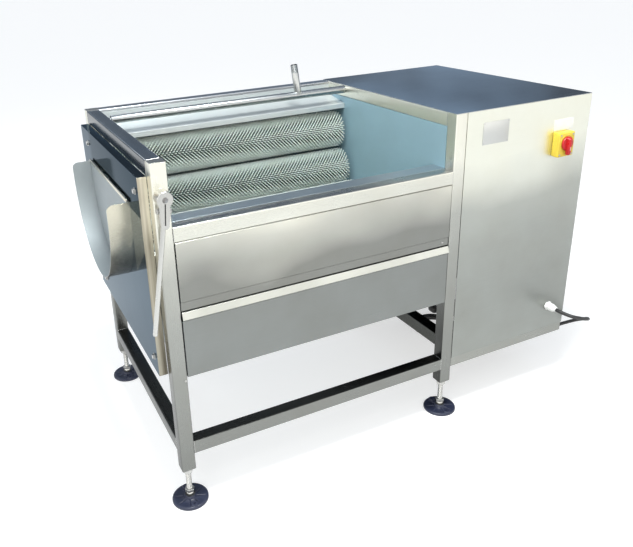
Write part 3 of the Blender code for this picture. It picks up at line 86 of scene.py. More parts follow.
class Nodes:
    """A node tree, with short calls whose inputs are constants or sockets to link."""

    def __init__(self, tree, space):
        self.tree = tree
        self.position = self.node("TexCoord").outputs[space]

    def put(self, socket, value):
        if isinstance(value, bpy.types.NodeSocket):
            self.tree.links.new(value, socket)
        else:
            socket.default_value = (*value, 1) if socket.type == "RGBA" else value

    def node(self, kind, inputs=None, **settings):
        made = self.tree.nodes.new("ShaderNode" + kind)
        for key, value in settings.items():
            setattr(made, key, value)
        for key, value in (inputs or {}).items():
            self.put(made.inputs[key], value)
        return made

    def axes(self, vector):
        return self.node("SeparateXYZ", {"Vector": vector}).outputs

    def facing(self):
        """The parts of the surface's normal."""
        return self.axes(self.node("NewGeometry").outputs["Normal"])

    def noise(self, scale, stretch=EVENLY, detail=4, rough=0.55):
        """A noise value, its pattern drawn out along the axes with a small stretch."""
        mapping = self.node("Mapping", {"Vector": self.position, "Scale": stretch})
        inputs = {"Vector": mapping.outputs["Vector"], "Scale": scale, "Detail": detail, "Roughness": rough}
        return self.node("TexNoise", inputs).outputs["Fac"]

    def spread(self, value, low, high, start=0.3, end=0.7, **settings):
        """A value mapped from start..end to low..high."""
        inputs = {"Value": value, "From Min": start, "From Max": end, "To Min": low, "To Max": high}
        return self.node("MapRange", inputs, **settings).outputs["Result"]

    def maths(self, operation, first, *others):
        """Values that one operation joins, one after another."""
        for value in others:
            first = self.node("Math", {0: first, 1: value}, operation=operation).outputs["Value"]
        return first

    def vectors(self, operation, a, b, out="Vector"):
        return self.node("VectorMath", {0: a, 1: b}, operation=operation).outputs[out]

    def blend(self, factor, a, b):
        """A colour between a and b."""
        inputs = {FACTOR: factor, COLOUR_A: a, COLOUR_B: b}
        return self.node("Mix", inputs, data_type="RGBA").outputs[MIXED]

    def ramp(self, value, stops):
        """A colour by a value, from (place, colour) stops."""
        made = self.node("ValToRGB", {"Fac": value})
        elements = made.color_ramp.elements
        while len(elements) < len(stops):
            elements.new(0.5)
        for element, (place, colour) in zip(elements, stops):
            element.position = place
            element.color = (*colour, 1)
        return made.outputs["Color"]


class Look(Nodes):
    """A node material with a Principled shader."""

    def __init__(self, name, colour, roughness, metallic=0.0, **constants):
        self.material = bpy.data.materials.new(name)
        self.material.use_nodes = True
        super().__init__(self.material.node_tree, "Object")
        self.finish(Base_Color=colour, Roughness=roughness, Metallic=metallic, **constants)

    def finish(self, **sockets):
        """Sets or links sockets of the shader."""
        shader = self.tree.nodes["Principled BSDF"]
        for socket, value in sockets.items():
            self.put(shader.inputs[socket.replace("_", " ")], value)

    def bump(self, height, strength, distance, edge=0.0):
        """A bumped normal over edges that are rounded off by a small radius."""
        inputs = {"Height": height, "Strength": strength, "Distance": distance}
        if edge:
            rounded = self.node("Bevel", {"Radius": edge}, samples=BEVEL_SAMPLES)
            inputs["Normal"] = rounded.outputs["Normal"]
        self.finish(Normal=self.node("Bump", inputs).outputs["Normal"])


def dim(colour, share):
    return tuple(channel * share for channel in colour)


# Noises: scale, stretch, detail and roughness. Ranges: low, high, start and end.

# Light and shade painted into the steel's tone: its drift, and its share on faces that look up or sideways,
# by height
DRIFT = (1.9, (1, 1, 1.6), 2)
TURNED = (0.5, 0.9)
PAINTED_TOP_SHARES = (0.05, 0.48, 0.22, 0.80)
PAINTED_SIDE_SHADE = (0.6, 0.0, 0.30, 0.60)
RED_LOSS = 0.05
BLUE_LIFT = 0.03
BLUE_LOSS = 0.10
NO_LIGHT = (0, 0, 0)


def tinted(share):
    """A grey for painted light and shade, with less red and more blue the darker it is."""
    return share * (1 - RED_LOSS + RED_LOSS * share), share, share * (1 + BLUE_LIFT - BLUE_LOSS * share)


def paint_light_and_shade(look, tone, stops, wobble):
    """A tone with light and shade painted in: brighter with height, a painted dark reflection on faces that
    look up, and painted shade on low faces that look sideways.
    """
    height = look.axes(look.position)["Z"]
    drift = look.spread(look.noise(*DRIFT), -wobble, wobble)
    share = look.ramp(look.maths("ADD", height, drift), [(place, tinted(level)) for place, level in stops])
    facing = look.facing()
    upward = look.spread(facing["Z"], 0.0, 1.0, *TURNED)
    # Painted dark reflection on faces that look up
    share = look.blend(upward, share, look.spread(height, *PAINTED_TOP_SHARES))
    # Painted shade on low faces that look sideways
    sideways = look.spread(look.maths("POWER", facing["X"], 2), 0.0, 1.0, *TURNED)
    side_shade = look.maths("MULTIPLY", sideways, look.spread(height, *PAINTED_SIDE_SHADE))
    share = look.blend(side_shade, share, NO_LIGHT)
    return look.vectors("MULTIPLY", tone, share)


STREAKS = {"scale": 1.0, "detail": 6, "rough": 0.65}
CLOUD = (5.5, EVENLY, 5)
SPOTS = (70.0, EVENLY, 3, 0.7)
WAVES = (3.2, EVENLY, 1)
STREAK_ROUGHNESS = 0.05
SPOT_ROUGHNESS = (0.0, 0.05, 0.62, 0.74)
STAIN = (0.90, 0.885, 0.86)
STREAK_DIMMING = 0.93
STREAK_SHARE = 0.7
STEEL_BUMP = 0.35
STEEL_BUMP_DEPTH = 2 * MM


def steel(name, colour, roughness, grain, grain_depth=0.10, smudge=0.06, wave=0.0, edge=1.2 * MM,
          metallic=1.0, stops=None, wobble=0.03, **constants):
    """Stainless steel: fine brushing along one axis, smudges, faint stains and soft edges; where stops are
    given, light and shade painted in by height and facing.
    """
    look = Look(name, colour, roughness, metallic, **constants)
    streaks = look.noise(stretch=grain, **STREAKS)
    cloud = look.noise(*CLOUD)
    rough = look.spread(streaks, -STREAK_ROUGHNESS, STREAK_ROUGHNESS)
    smudges = look.spread(cloud, -smudge, smudge)
    rough = look.maths("ADD", rough, roughness, smudges, look.spread(look.noise(*SPOTS), *SPOT_ROUGHNESS))
    stained = tuple(channel * share for channel, share in zip(colour, STAIN))
    tone = look.blend(look.spread(cloud, 0.0, 1.0), colour, stained)
    tone = look.blend(look.spread(streaks, 0.0, STREAK_SHARE), tone, dim(colour, STREAK_DIMMING))
    # Painted light and shade by height and facing
    if stops:
        tone = paint_light_and_shade(look, tone, stops, wobble)
    look.finish(Roughness=rough, Base_Color=tone)
    height = look.maths("MULTIPLY", streaks, grain_depth)
    if wave:
        height = look.maths("ADD", height, look.maths("MULTIPLY", look.noise(*WAVES), wave))
    look.bump(height, STEEL_BUMP, STEEL_BUMP_DEPTH, edge)
    return look.material


ALONG_X = (6, 900, 900)
ALONG_Y = (900, 6, 900)
ALONG_Z = (900, 900, 6)
EVEN_GRAIN = (220, 220, 220)
SATIN = (0.90, 0.89, 0.85)
# A dark bluish specular tint: painted dark reflection on the end wall
DARKENED_EDGE_REFLECTION = (0.45, 0.50, 0.55)
# A dark specular tint: painted shade on the cabinet frame
PAINTED_SHADE_EDGE_TINT = (0.10, 0.11, 0.11)

# Painted light and shade: shares of the full tone by height in metres
PAINTED_LIGHT_BY_HEIGHT = ((0.10, 0.24), (0.35, 0.31), (0.55, 0.39), (0.70, 0.50), (0.80, 0.78), (0.88, 0.98), (1.00, 1.00))
PAINTED_LIGHT_ON_CABINET = ((0.15, 0.38), (0.35, 0.38), (0.55, 0.45), (0.70, 0.55), (0.79, 0.84), (0.86, 1.00))
PAINTED_LIGHT_ON_PANELS = ((0.45, 0.29), (0.67, 0.31), (0.73, 0.54), (0.77, 0.68), (0.82, 0.98), (0.90, 1.00))
PAINTED_LIGHT_ON_SPOUT = ((0.60, 0.22), (0.68, 0.30), (0.76, 0.62), (0.84, 0.92), (0.88, 1.00))
# A constant dark share: painted dark reflection on the left top rail
PAINTED_RAIL_REFLECTION_SHARE = ((0, 0.13), (1, 0.13))
# A painted highlight on the lower front panel's top lip, above this edge
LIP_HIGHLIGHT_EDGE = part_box("front_lower_panel")[1].z - 22 * MM
LIP_HIGHLIGHT_BLUR = 0.5 * MM
PAINTED_HIGHLIGHT_ON_LIP = ((0.45, 0.29), (LIP_HIGHLIGHT_EDGE - LIP_HIGHLIGHT_BLUR, 0.31), (LIP_HIGHLIGHT_EDGE + LIP_HIGHLIGHT_BLUR, 0.62))

# Frame steels with painted light and shade by height
STEEL_X = steel("satin_steel_x", SATIN, 0.30, ALONG_X, stops=PAINTED_LIGHT_BY_HEIGHT)
STEEL_Y = steel("satin_steel_y", SATIN, 0.30, ALONG_Y, stops=PAINTED_LIGHT_BY_HEIGHT)
STEEL_Z = steel("satin_steel_z", SATIN, 0.30, ALONG_Z, stops=PAINTED_LIGHT_BY_HEIGHT)
# Back rail: a darker copy of the frame steel, painted shade
BACK_RAIL_SHADED_STEEL = steel("back_rail_steel", (0.42, 0.44, 0.47), 0.30, ALONG_X)
# Left top rail: steel darkened to a painted dark reflection
LEFT_RAIL_PAINTED_REFLECTION = steel("left_rail_steel", (0.92, 0.97, 1.00), 0.20, ALONG_Y, 0.03, 0.03, 0.4, stops=PAINTED_RAIL_REFLECTION_SHARE, wobble=0)
# Front panels and cabinet with painted light and shade by height
PANEL_X = steel("panel_steel", (0.85, 0.835, 0.79), 0.38, ALONG_X, 0.05, wave=1.5, stops=PAINTED_LIGHT_ON_PANELS,
                wobble=0.06)
PANEL_LOW = steel("low_panel_steel", (0.825, 0.835, 0.815), 0.36, ALONG_X, 0.05, wave=1.2, stops=PAINTED_HIGHLIGHT_ON_LIP,
                  wobble=0)
PANEL_Z = steel("cabinet_steel", (0.81, 0.82, 0.79), 0.40, ALONG_X, 0.05, wave=1.2, stops=PAINTED_LIGHT_ON_CABINET,
                wobble=0.05)
# Cabinet frame: painted light and shade by height, and a dark specular tint as painted shade
FRAME_STEEL = steel("cabinet_frame_steel", SATIN, 0.30, ALONG_X, stops=PAINTED_LIGHT_ON_CABINET, Specular_Tint=PAINTED_SHADE_EDGE_TINT)
GATE_STEEL = steel("gate_steel", (0.37, 0.41, 0.43), 0.60, ALONG_Y, 0.01, 0.04, 0.3, metallic=0.75)
INSIDE = steel("guard_steel", (0.44, 0.50, 0.54), 0.38, ALONG_X, 0.02, 0.03, 0.4)
SPLASH = steel("splash_steel", (0.56, 0.60, 0.61), 0.42, ALONG_X, 0.03, 0.05, 0.8, metallic=0.6)
RIGHT_INSIDE = steel("right_wall_steel", (0.27, 0.42, 0.50), 0.40, ALONG_Y, 0.04, 0.08, 1.6, metallic=0.35)
TOP_SHEET = steel("cabinet_top_steel", (0.52, 0.55, 0.58), 0.07, ALONG_X, 0.02, 0.03, 1.0)
# Spout steel with painted light and shade by height
SPOUT_STEEL = steel("spout_steel", (0.74, 0.71, 0.63), 0.26, ALONG_Y, 0.01, 0.04, 0.6, edge=0.3 * MM,
                    stops=PAINTED_LIGHT_ON_SPOUT, wobble=0.015)
PIPE_STEEL = steel("pipe_steel", (0.40, 0.42, 0.43), 0.26, ALONG_X, 0.04)
LEVER_STEEL = steel("lever_steel", (0.58, 0.58, 0.56), 0.25, ALONG_Z, 0.06)
BOLT_STEEL = steel("bolt_steel", (0.50, 0.50, 0.49), 0.30, EVEN_GRAIN, 0.15, edge=0.4 * MM)
PLATE = steel("plate_steel", (0.60, 0.61, 0.60), 0.42, ALONG_X, 0.05, edge=0.2 * MM)

GRAIN = (900.0, EVENLY, 2)
CLOUD_ROUGHNESS = (-0.05, 0.07)


def plastic(name, colour, roughness, second, scale, bump=0.25):
    """Moulded plastic: two close tones, a fine grain and worn edges."""
    look = Look(name, colour, roughness)
    cloud = look.noise(scale)
    rough = look.maths("ADD", look.spread(cloud, *CLOUD_ROUGHNESS), roughness)
    look.finish(Base_Color=look.blend(look.spread(cloud, 0, 1), colour, second), Roughness=rough)
    look.bump(look.noise(*GRAIN), bump, distance=0.4 * MM, edge=0.6 * MM)
    return look.material


NAVY = plastic("navy_plastic", (0.014, 0.018, 0.042), 0.42, (0.022, 0.027, 0.055), 60.0)
YELLOW = plastic("yellow_plastic", (0.66, 0.50, 0.05), 0.36, (0.60, 0.44, 0.04), 40.0)
RED = plastic("red_plastic", (0.50, 0.012, 0.014), 0.30, (0.42, 0.010, 0.012), 45.0)
WHITE = plastic("white_nylon", (0.80, 0.81, 0.80), 0.42, (0.70, 0.71, 0.69), 50.0)
BLACK = plastic("black_rubber", (0.014, 0.014, 0.015), 0.48, (0.026, 0.026, 0.027), 35.0, 0.4)
CORE = plastic("roller_core", (0.035, 0.050, 0.045), 0.60, (0.020, 0.030, 0.027), 30.0)
MOTOR = plastic("motor_paint", (0.060, 0.150, 0.240), 0.42, (0.050, 0.120, 0.190), 18.0)

# End wall: its painted dark mirror reflection, the painted shade over the spout, the painted reflection of
# the spout and the front flange's painted reflection
PAINTED_DARK_REFLECTION = (0.16, 0.18, 0.195)
MIRROR_CLOUD = 0.86
MIRROR_ROUGHNESS = 0.08
FLANGE_ROUGHNESS = 0.30
RIPPLE_ROUGHNESS = 0.02
PAINTED_SHADE_OVER_SPOUT = (0.012, 0.016, 0.015)
PAINTED_SPOUT_REFLECTION = (0.50, 0.48, 0.42)
IMAGE_SLOPE = 0.85
IMAGE_RISE = 84 * MM
RIM_DROP = 12 * MM
ZONE_BLUR = (30 * MM, 5 * MM)
SPOUT_MARGIN = 4 * MM
FLANGE_BANDS = (1.0, (48, 48, 1.2), 2)
BAND_EDGES = (0, 1, 0.42, 0.60)
FLANGE_REFLECTION_PALE, FLANGE_REFLECTION_DARK = (0.76, 0.71, 0.58), (0.40, 0.35, 0.26)
FLANGE_LIGHT_BY_HEIGHT = (0.42, 1.0, 0.45, 0.92)
TOP_FLANGE_REFLECTION = (0.60, 0.68, 0.70)
FINE_RELIEF, BROAD_RELIEF = 0.02, 0.4


def wall_look():
    """Mirror sheet of the end wall with a painted dark reflection and painted shade over the spout; a painted
    reflection of the spout beside it; its front flange is a pale, banded painted reflection, brighter with
    height, and upward faces a pale painted reflection.
    """
    look = Look("end_wall_steel", PAINTED_DARK_REFLECTION, MIRROR_ROUGHNESS, 1.0, Specular_Tint=DARKENED_EDGE_REFLECTION)
    low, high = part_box("spout")
    place = look.axes(look.position)
    facing = look.facing()
    streaks = look.noise(stretch=ALONG_Z, **STREAKS)
    cloud = look.noise(*CLOUD)
    # Painted dark reflection on the mirror wall, clouded
    tone = look.blend(look.spread(cloud, 0, 1), PAINTED_DARK_REFLECTION, dim(PAINTED_DARK_REFLECTION, MIRROR_CLOUD))
    # Painted shade on the wall over the spout, near its front
    over = look.maths("GREATER_THAN", place["Z"], high.z - RIM_DROP)
    near = look.spread(place["Y"], 1.0, 0.0, high.y - ZONE_BLUR[0], high.y + ZONE_BLUR[1])
    tone = look.blend(look.maths("MULTIPLY", over, near), tone, PAINTED_SHADE_OVER_SPOUT)
    # A painted reflection of the spout on the wall beside it
    beside = look.maths("LESS_THAN", place["Y"], low.y + SPOUT_MARGIN)
    below = look.maths("LESS_THAN", place["Z"], high.z - RIM_DROP)
    slope = look.maths("ADD", look.maths("MULTIPLY", place["Y"], IMAGE_SLOPE), place["Z"])
    above = look.maths("GREATER_THAN", slope, low.z + IMAGE_RISE + low.y * IMAGE_SLOPE)
    tone = look.blend(look.maths("MULTIPLY", beside, below, above), tone, PAINTED_SPOUT_REFLECTION)
    # The front flange: pale and dark bands as a painted reflection, brighter with height
    bands = look.spread(look.noise(*FLANGE_BANDS), *BAND_EDGES)
    pale = look.blend(bands, FLANGE_REFLECTION_PALE, FLANGE_REFLECTION_DARK)
    pale = look.vectors("MULTIPLY", pale, look.spread(place["Z"], *FLANGE_LIGHT_BY_HEIGHT))
    front = look.spread(facing["Y"], 1.0, 0.0, -TURNED[1], -TURNED[0])
    tone = look.blend(front, tone, pale)
    # A pale painted reflection on faces that look up
    tone = look.blend(look.spread(facing["Z"], 0.0, 1.0, *TURNED), tone, TOP_FLANGE_REFLECTION)
    ripple = look.spread(streaks, -RIPPLE_ROUGHNESS, RIPPLE_ROUGHNESS)
    base = look.spread(front, MIRROR_ROUGHNESS, FLANGE_ROUGHNESS, 0.0, 1.0)
    look.finish(Base_Color=tone, Roughness=look.maths("ADD", ripple, base))
    fine, broad = (look.maths("MULTIPLY", *part) for part in ((streaks, FINE_RELIEF), (cloud, BROAD_RELIEF)))
    look.bump(look.maths("ADD", fine, broad), strength=0.3, distance=2 * MM, edge=1.2 * MM)
    return look.material


CLEAN_STEEL, OILED, GRIMY = (0.30, 0.305, 0.31), (0.26, 0.265, 0.27), (0.10, 0.085, 0.07)
GRIME_ROUGHNESS = (0.26, 0.58)


def dark_steel():
    """Oiled machined steel of the chains, sprockets and gate shaft."""
    look = Look("machined_steel", OILED, 0.38, 1.0)
    grime = look.noise(scale=45.0, detail=6, rough=0.7)
    tone = look.blend(look.spread(grime, 0, 1, start=0.45), CLEAN_STEEL, GRIMY)
    look.finish(Base_Color=tone, Roughness=look.spread(grime, *GRIME_ROUGHNESS))
    look.bump(look.noise(scale=320.0, detail=3), strength=0.2, distance=0.6 * MM, edge=0.5 * MM)
    return look.material


# Tone from root to tip: the dark root is painted shade between the tufts
TIP_TONE_AND_ROOT_SHADE = ((0, (0.03, 0.05, 0.05)), (0.5, (0.82, 0.92, 0.87)), (1, (0.93, 0.98, 0.95)))
NYLON, WORN = (0.62, 0.70, 0.64), (0.52, 0.54, 0.40)
WORN_SHARE = 0.22
NYLON_ROUGHNESS = (0.34, 0.52)


def bristle_look():
    """Nylon bristles: darkened towards the root as painted shade between the tufts, pale at the cut tips,
    with worn patches.
    """
    look = Look("bristle_nylon", NYLON, 0.42, Subsurface_Weight=0.08)
    tip = look.node("Attribute", attribute_name="tip").outputs["Fac"]
    cloud = look.noise(scale=14.0)
    tone = look.blend(look.spread(cloud, 0.0, WORN_SHARE), look.ramp(tip, TIP_TONE_AND_ROOT_SHADE), WORN)
    look.finish(Base_Color=tone, Roughness=look.spread(cloud, *NYLON_ROUGHNESS))
    look.bump(look.noise(scale=1400.0, detail=2), strength=0.15, distance=0.3 * MM)
    return look.material


WALL = wall_look()
MACHINED = dark_steel()
BRISTLE = bristle_look()


# Mesh helpers

# Steps round a circle, by its size, and the angle in degrees up to which an edge is smoothed
TINY, SMALL, MIDDLE, ROUND, FINE = 24, 32, 40, 48, 64
HEX = 6
BEAD = 8
SHARP = 30


def place_in_scene(name, data):
    made = bpy.data.objects.new(name, data)
    bpy.context.scene.collection.objects.link(made)
    return made


def show(name, shape, slot, look, body="machine", smooth=SHARP, node=None):
    """A finished mesh as a piece on a body, with the look as its finish, in the place of a node if one is
    named; the slot is not used.
    """
    mesh = bpy.data.meshes.new(name)
    bmesh.ops.recalc_face_normals(shape, faces=shape.faces)
    shape.to_mesh(mesh)
    shape.free()
    piece = place_in_scene(name, mesh)
    mesh.materials.append(look)
    if smooth:
        mesh.shade_smooth()
        mesh.set_sharp_from_angle(angle=radians(smooth))
    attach(piece, body)
    if node:
        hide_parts(node)
    return piece


def turned(name, profile, base, direction, slot, look, steps=ROUND, **settings):
    """A piece that is one turned form."""
    shape = bmesh.new()
    lathe(shape, profile, base, direction, steps)
    return show(name, shape, slot, look, **settings)


def circle(steps):
    return [2 * pi * step / steps for step in range(steps)]


def arc(centre, radius, start, end, steps):
    turns = [start + (end - start) * step / steps for step in range(steps + 1)]
    return [(centre[0] + radius * cos(a), centre[1] + radius * sin(a)) for a in turns]


def bridge(shape, first, second, closed=True):
    """Faces between two rows of points, all the way round where the rows are closed."""
    count = len(first)
    for index in range(count if closed else count - 1):
        ahead = (index + 1) % count
        shape.faces.new((first[index], first[ahead], second[ahead], second[index]))


def skin(shape, rows, capped=True):
    """A surface through closed rows of points."""
    for first, second in zip(rows, rows[1:]):
        bridge(shape, first, second)
    if capped:
        shape.faces.new(rows[0])
        shape.faces.new(rows[-1])


def rings_on(shape, base, direction, profile, steps):
    """Rings of points round an axis through base, one point where the radius is zero."""
    turn = Vector(direction).to_track_quat("Z", "Y").to_matrix()
    rings = []
    for radius, height in profile:
        angles = circle(steps) if radius else [0]
        spots = [Vector((radius * cos(a), radius * sin(a), height)) for a in angles]
        rings.append([shape.verts.new(base + turn @ spot) for spot in spots])
    return rings


def lathe(shape, profile, base, direction, steps=ROUND):
    """Spin (radius, height) points round an axis through base; ends on the axis are closed."""
    rings = rings_on(shape, base, direction, profile, steps)
    for first, second in zip(rings, rings[1:]):
        for step in range(steps):
            ahead = (step + 1) % steps
            corners = [first[step % len(first)], first[ahead % len(first)]]
            corners += [second[ahead % len(second)], second[step % len(second)]]
            distinct = list(dict.fromkeys(corners))
            if len(distinct) > 2:
                shape.faces.new(distinct)


def hexagon(shape, base, direction, radius, height, chamfer):
    """A hex nut or head with chamfered corners."""
    edge = radius - chamfer
    profile = ((edge, 0), (radius, chamfer), (radius, height - chamfer), (edge, height))
    skin(shape, rings_on(shape, base, direction, profile, HEX))


def block(shape, low, high, bevel=0.0, segments=3):
    """A box with rounded edges, added to a mesh."""
    low = Vector(low)
    high = Vector(high)
    matrix = Matrix.Translation((low + high) / 2) @ Matrix.Diagonal((*(high - low), 1))
    made = bmesh.ops.create_cube(shape, size=1, matrix=matrix)
    if bevel:
        edges = list({edge for vert in made["verts"] for edge in vert.link_edges})
        bmesh.ops.bevel(shape, geom=edges, offset=bevel, segments=segments, profile=0.5, affect="EDGES")


def runs_of(path):
    """The direction of a path at each of its points."""
    last = len(path) - 1
    return [(path[min(i + 1, last)] - path[max(i - 1, 0)]).normalized() for i in range(len(path))]


def sweep(shape, points, radius, sides=16):
    """A round tube along points, capped, with its rings carried without twist."""
    radii = radius if isinstance(radius, list) else [radius] * len(points)
    runs = runs_of(points)
    up = runs[0].orthogonal().normalized()
    rings = []
    for spot, run, size in zip(points, runs, radii):
        up = (up - run * up.dot(run)).normalized()
        side = run.cross(up)
        offsets = [up * cos(a) * size + side * sin(a) * size for a in circle(sides)]
        rings.append([shape.verts.new(spot + offset) for offset in offsets])
    skin(shape, rings)


def strap(shape, path, wide, width, thickness):
    """A flat bar bent along a path, its width along one direction."""
    rings = []
    for spot, run in zip(path, runs_of(path)):
        over = run.cross(wide).normalized()
        sides = ((-1, -1), (1, -1), (1, 1), (-1, 1))
        offsets = [wide * width / 2 * a + over * thickness / 2 * b for a, b in sides]
        rings.append([shape.verts.new(spot + offset) for offset in offsets])
    skin(shape, rings)


# Frame tubes, with their ferrules and welds

POSTS = ("post_front_left", "post_back_left", "post_front_mid", "post_back_mid")
RAILS = (
    ("rail_top_left", Y_RUN, LEFT_RAIL_PAINTED_REFLECTION), ("rail_low_left", Y_RUN, STEEL_Y), ("rail_top_mid", Y_RUN, STEEL_Y),
    ("rail_top_back", X_RUN, BACK_RAIL_SHADED_STEEL), ("rail_front", X_RUN, STEEL_X), ("rail_low_front", X_RUN, STEEL_X),
)
CORNER = 3.5 * MM
CORNER_STEPS = 5
WALL_THICKNESS = 2 * MM
FERRULE_HEIGHT = 6 * MM
FERRULE = mm((9, 0), (18.6, 0), (18.6, 0.8), (15, 1.4), (14.6, 5.6), (13.8, 6), (9, 6), (8.8, 0))
POST_FOOT = LEG_LOW.z + FERRULE_HEIGHT
WELD_INSET = 0.4 * MM
WELD_CORNER_STEPS = 3
WELD_STEP = 2.5 * MM
WELD_RADIUS = 0.85 * MM
WELD_RIPPLE = 0.2 * MM
RIPPLE_TURN = 1.9


def rounded_square(half, corner, steps):
    """The outline of a tube about its centre."""
    points = []
    reach = half - corner
    for quarter, (a, b) in enumerate(((1, 1), (-1, 1), (-1, -1), (1, -1))):
        start = pi / 2 * quarter
        points += arc((reach * a, reach * b), corner, start, start + pi / 2, steps)
    return points


def across(axis, centre, level, a, b):
    """A point at a level along an axis, moved by a and b from the centre across it."""
    spot = centre.copy()
    first, second = [i for i in range(3) if i != axis]
    spot[axis] = level
    spot[first] += a
    spot[second] += b
    return spot


def frame_tube(node, axis, look, capped=False):
    """A square tube with round corners, open at its ends or capped at the top."""
    low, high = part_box(node)
    centre = (low + high) / 2
    shape = bmesh.new()
    start = max(low[axis], POST_FOOT) if capped else low[axis]
    end = high[axis]
    outer = rounded_square(TUBE / 2, CORNER, CORNER_STEPS)
    inner = rounded_square(TUBE / 2 - WALL_THICKNESS, CORNER - WALL_THICKNESS, CORNER_STEPS)
    rows = []
    for outline, level in ((inner, start), (outer, start), (outer, end), (inner, end)):
        rows.append([shape.verts.new(across(axis, centre, level, a, b)) for a, b in outline])
    skin(shape, rows, capped)
    if not capped:
        bridge(shape, rows[-1], rows[0])
    show(node + "_tube", shape, "brushed_steel", look, node=node)


def make_frame_tubes():
    for node in POSTS:
        frame_tube(node, Z_RUN, STEEL_Z, capped=True)
    for rail in RAILS:
        frame_tube(*rail)


def make_ferrules():
    """The steel plug and ferrule at the foot of each post."""
    for index, node in enumerate(POSTS, start=1):
        low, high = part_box(node)
        foot = Vector(((low.x + high.x) / 2, (low.y + high.y) / 2, POST_FOOT))
        turned(f"post_ferrule_{index}", FERRULE, foot, DOWN, "brushed_steel", BOLT_STEEL)


def make_welds():
    """A small ground weld bead round each rail's end, where it meets its post."""
    shape = bmesh.new()
    outline = rounded_square(TUBE / 2 - WELD_INSET, CORNER, WELD_CORNER_STEPS)
    for node, axis, _ in RAILS:
        low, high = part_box(node)
        for end in (low[axis], high[axis]):
            path = []
            for here, ahead in zip(outline, outline[1:] + outline[:1]):
                parts = max(1, round(dist(here, ahead) / WELD_STEP))
                for part in range(parts):
                    a, b = (near + (far - near) * part / parts for near, far in zip(here, ahead))
                    path.append(across(axis, (low + high) / 2, end, a, b))
            path.append(path[0].copy())
            radii = [WELD_RADIUS + WELD_RIPPLE * sin(index * RIPPLE_TURN) for index in range(len(path))]
            sweep(shape, path, radii, HEX)
    show("weld_beads", shape, "brushed_steel", BOLT_STEEL)


# Spout

MOUTH_STEPS = 6
SPOUT_CORNER = 16 * MM
SPOUT_SHEET = 2 * MM
U_STEPS = 72
INSIDE_SHARE = 0.75


def u_form(node):
    """The centre (y, z) and radius of a U-shaped node's round bottom."""
    low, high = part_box(node)
    radius = (high.y - low.y) / 2
    return (low.y + high.y) / 2, low.z + radius, radius


def u_section(centre_y, centre_z, radius, top):
    points = [(centre_y - radius, top)]
    points += arc((centre_y, centre_z), radius, pi, 2 * pi, U_STEPS)
    points.append((centre_y + radius, top))
    return points


def make_spout():
    """The U spout: smooth sheet with a bright cut rim and round corners at its mouth."""
    low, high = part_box("spout")
    centre_y, centre_z, radius = u_form("spout")
    stations = []
    for step in range(MOUTH_STEPS + 1):
        a = pi / 2 * step / MOUTH_STEPS
        stations.append((low.x + SPOUT_CORNER * (1 - sin(a)), high.z - SPOUT_CORNER * (1 - cos(a))))
    stations = sorted(stations) + [(high.x, high.z)]
    shape = bmesh.new()
    skins = []
    for size in (radius, radius - SPOUT_SHEET):
        rows = []
        for x, top in stations:
            rows.append([shape.verts.new((x, y, z)) for y, z in u_section(centre_y, centre_z, size, top)])
        skins.append(rows)
        for first, second in zip(rows, rows[1:]):
            bridge(shape, first, second, closed=False)
    outer, inner = skins
    for end in (0, -1):
        bridge(shape, outer[end], inner[end], closed=False)
        bridge(shape, [row[end] for row in outer], [row[end] for row in inner], closed=False)
    piece = show("spout_sheet", shape, "polished_steel", SPOUT_STEEL, smooth=35, node="spout")
    piece.data.materials.append(GATE_STEEL)
    limit = radius - SPOUT_SHEET * INSIDE_SHARE
    for face in piece.data.polygons:
        corners = [piece.data.vertices[index].co for index in face.vertices]
        reach = max(hypot(spot.y - centre_y, min(spot.z - centre_z, 0)) for spot in corners)
        if reach < limit:
            face.material_index = 1


# Gate and lever

GATE_SHEET = 1.5 * MM
GATE_TOP = 2 * MM
HEM_HEIGHT = 10 * MM
HEM_EDGE = 1.5 * MM
HEM_INSET = 1 * MM
HEM_GAP = 0.2 * MM
SHAFT_RADIUS = 8 * MM
SHAFT_CHAMFER = 1 * MM
ARM_OFFSET = 155 * MM
ARM_WIDTH = 22 * MM
ARM_THICKNESS = 4.6 * MM
ELBOW_DROP = 28.5 * MM
UPPER_BEND = mm((0, 6), (1.5, 2), (6, 0))
LOWER_BEND = mm((6, 0), (1.5, 2), (0, 6), (0, 18))
COLLAR = mm((8.1, 0), (12.5, 0), (13, 0.6), (13, 25.4), (12.5, 26), (8.1, 26))


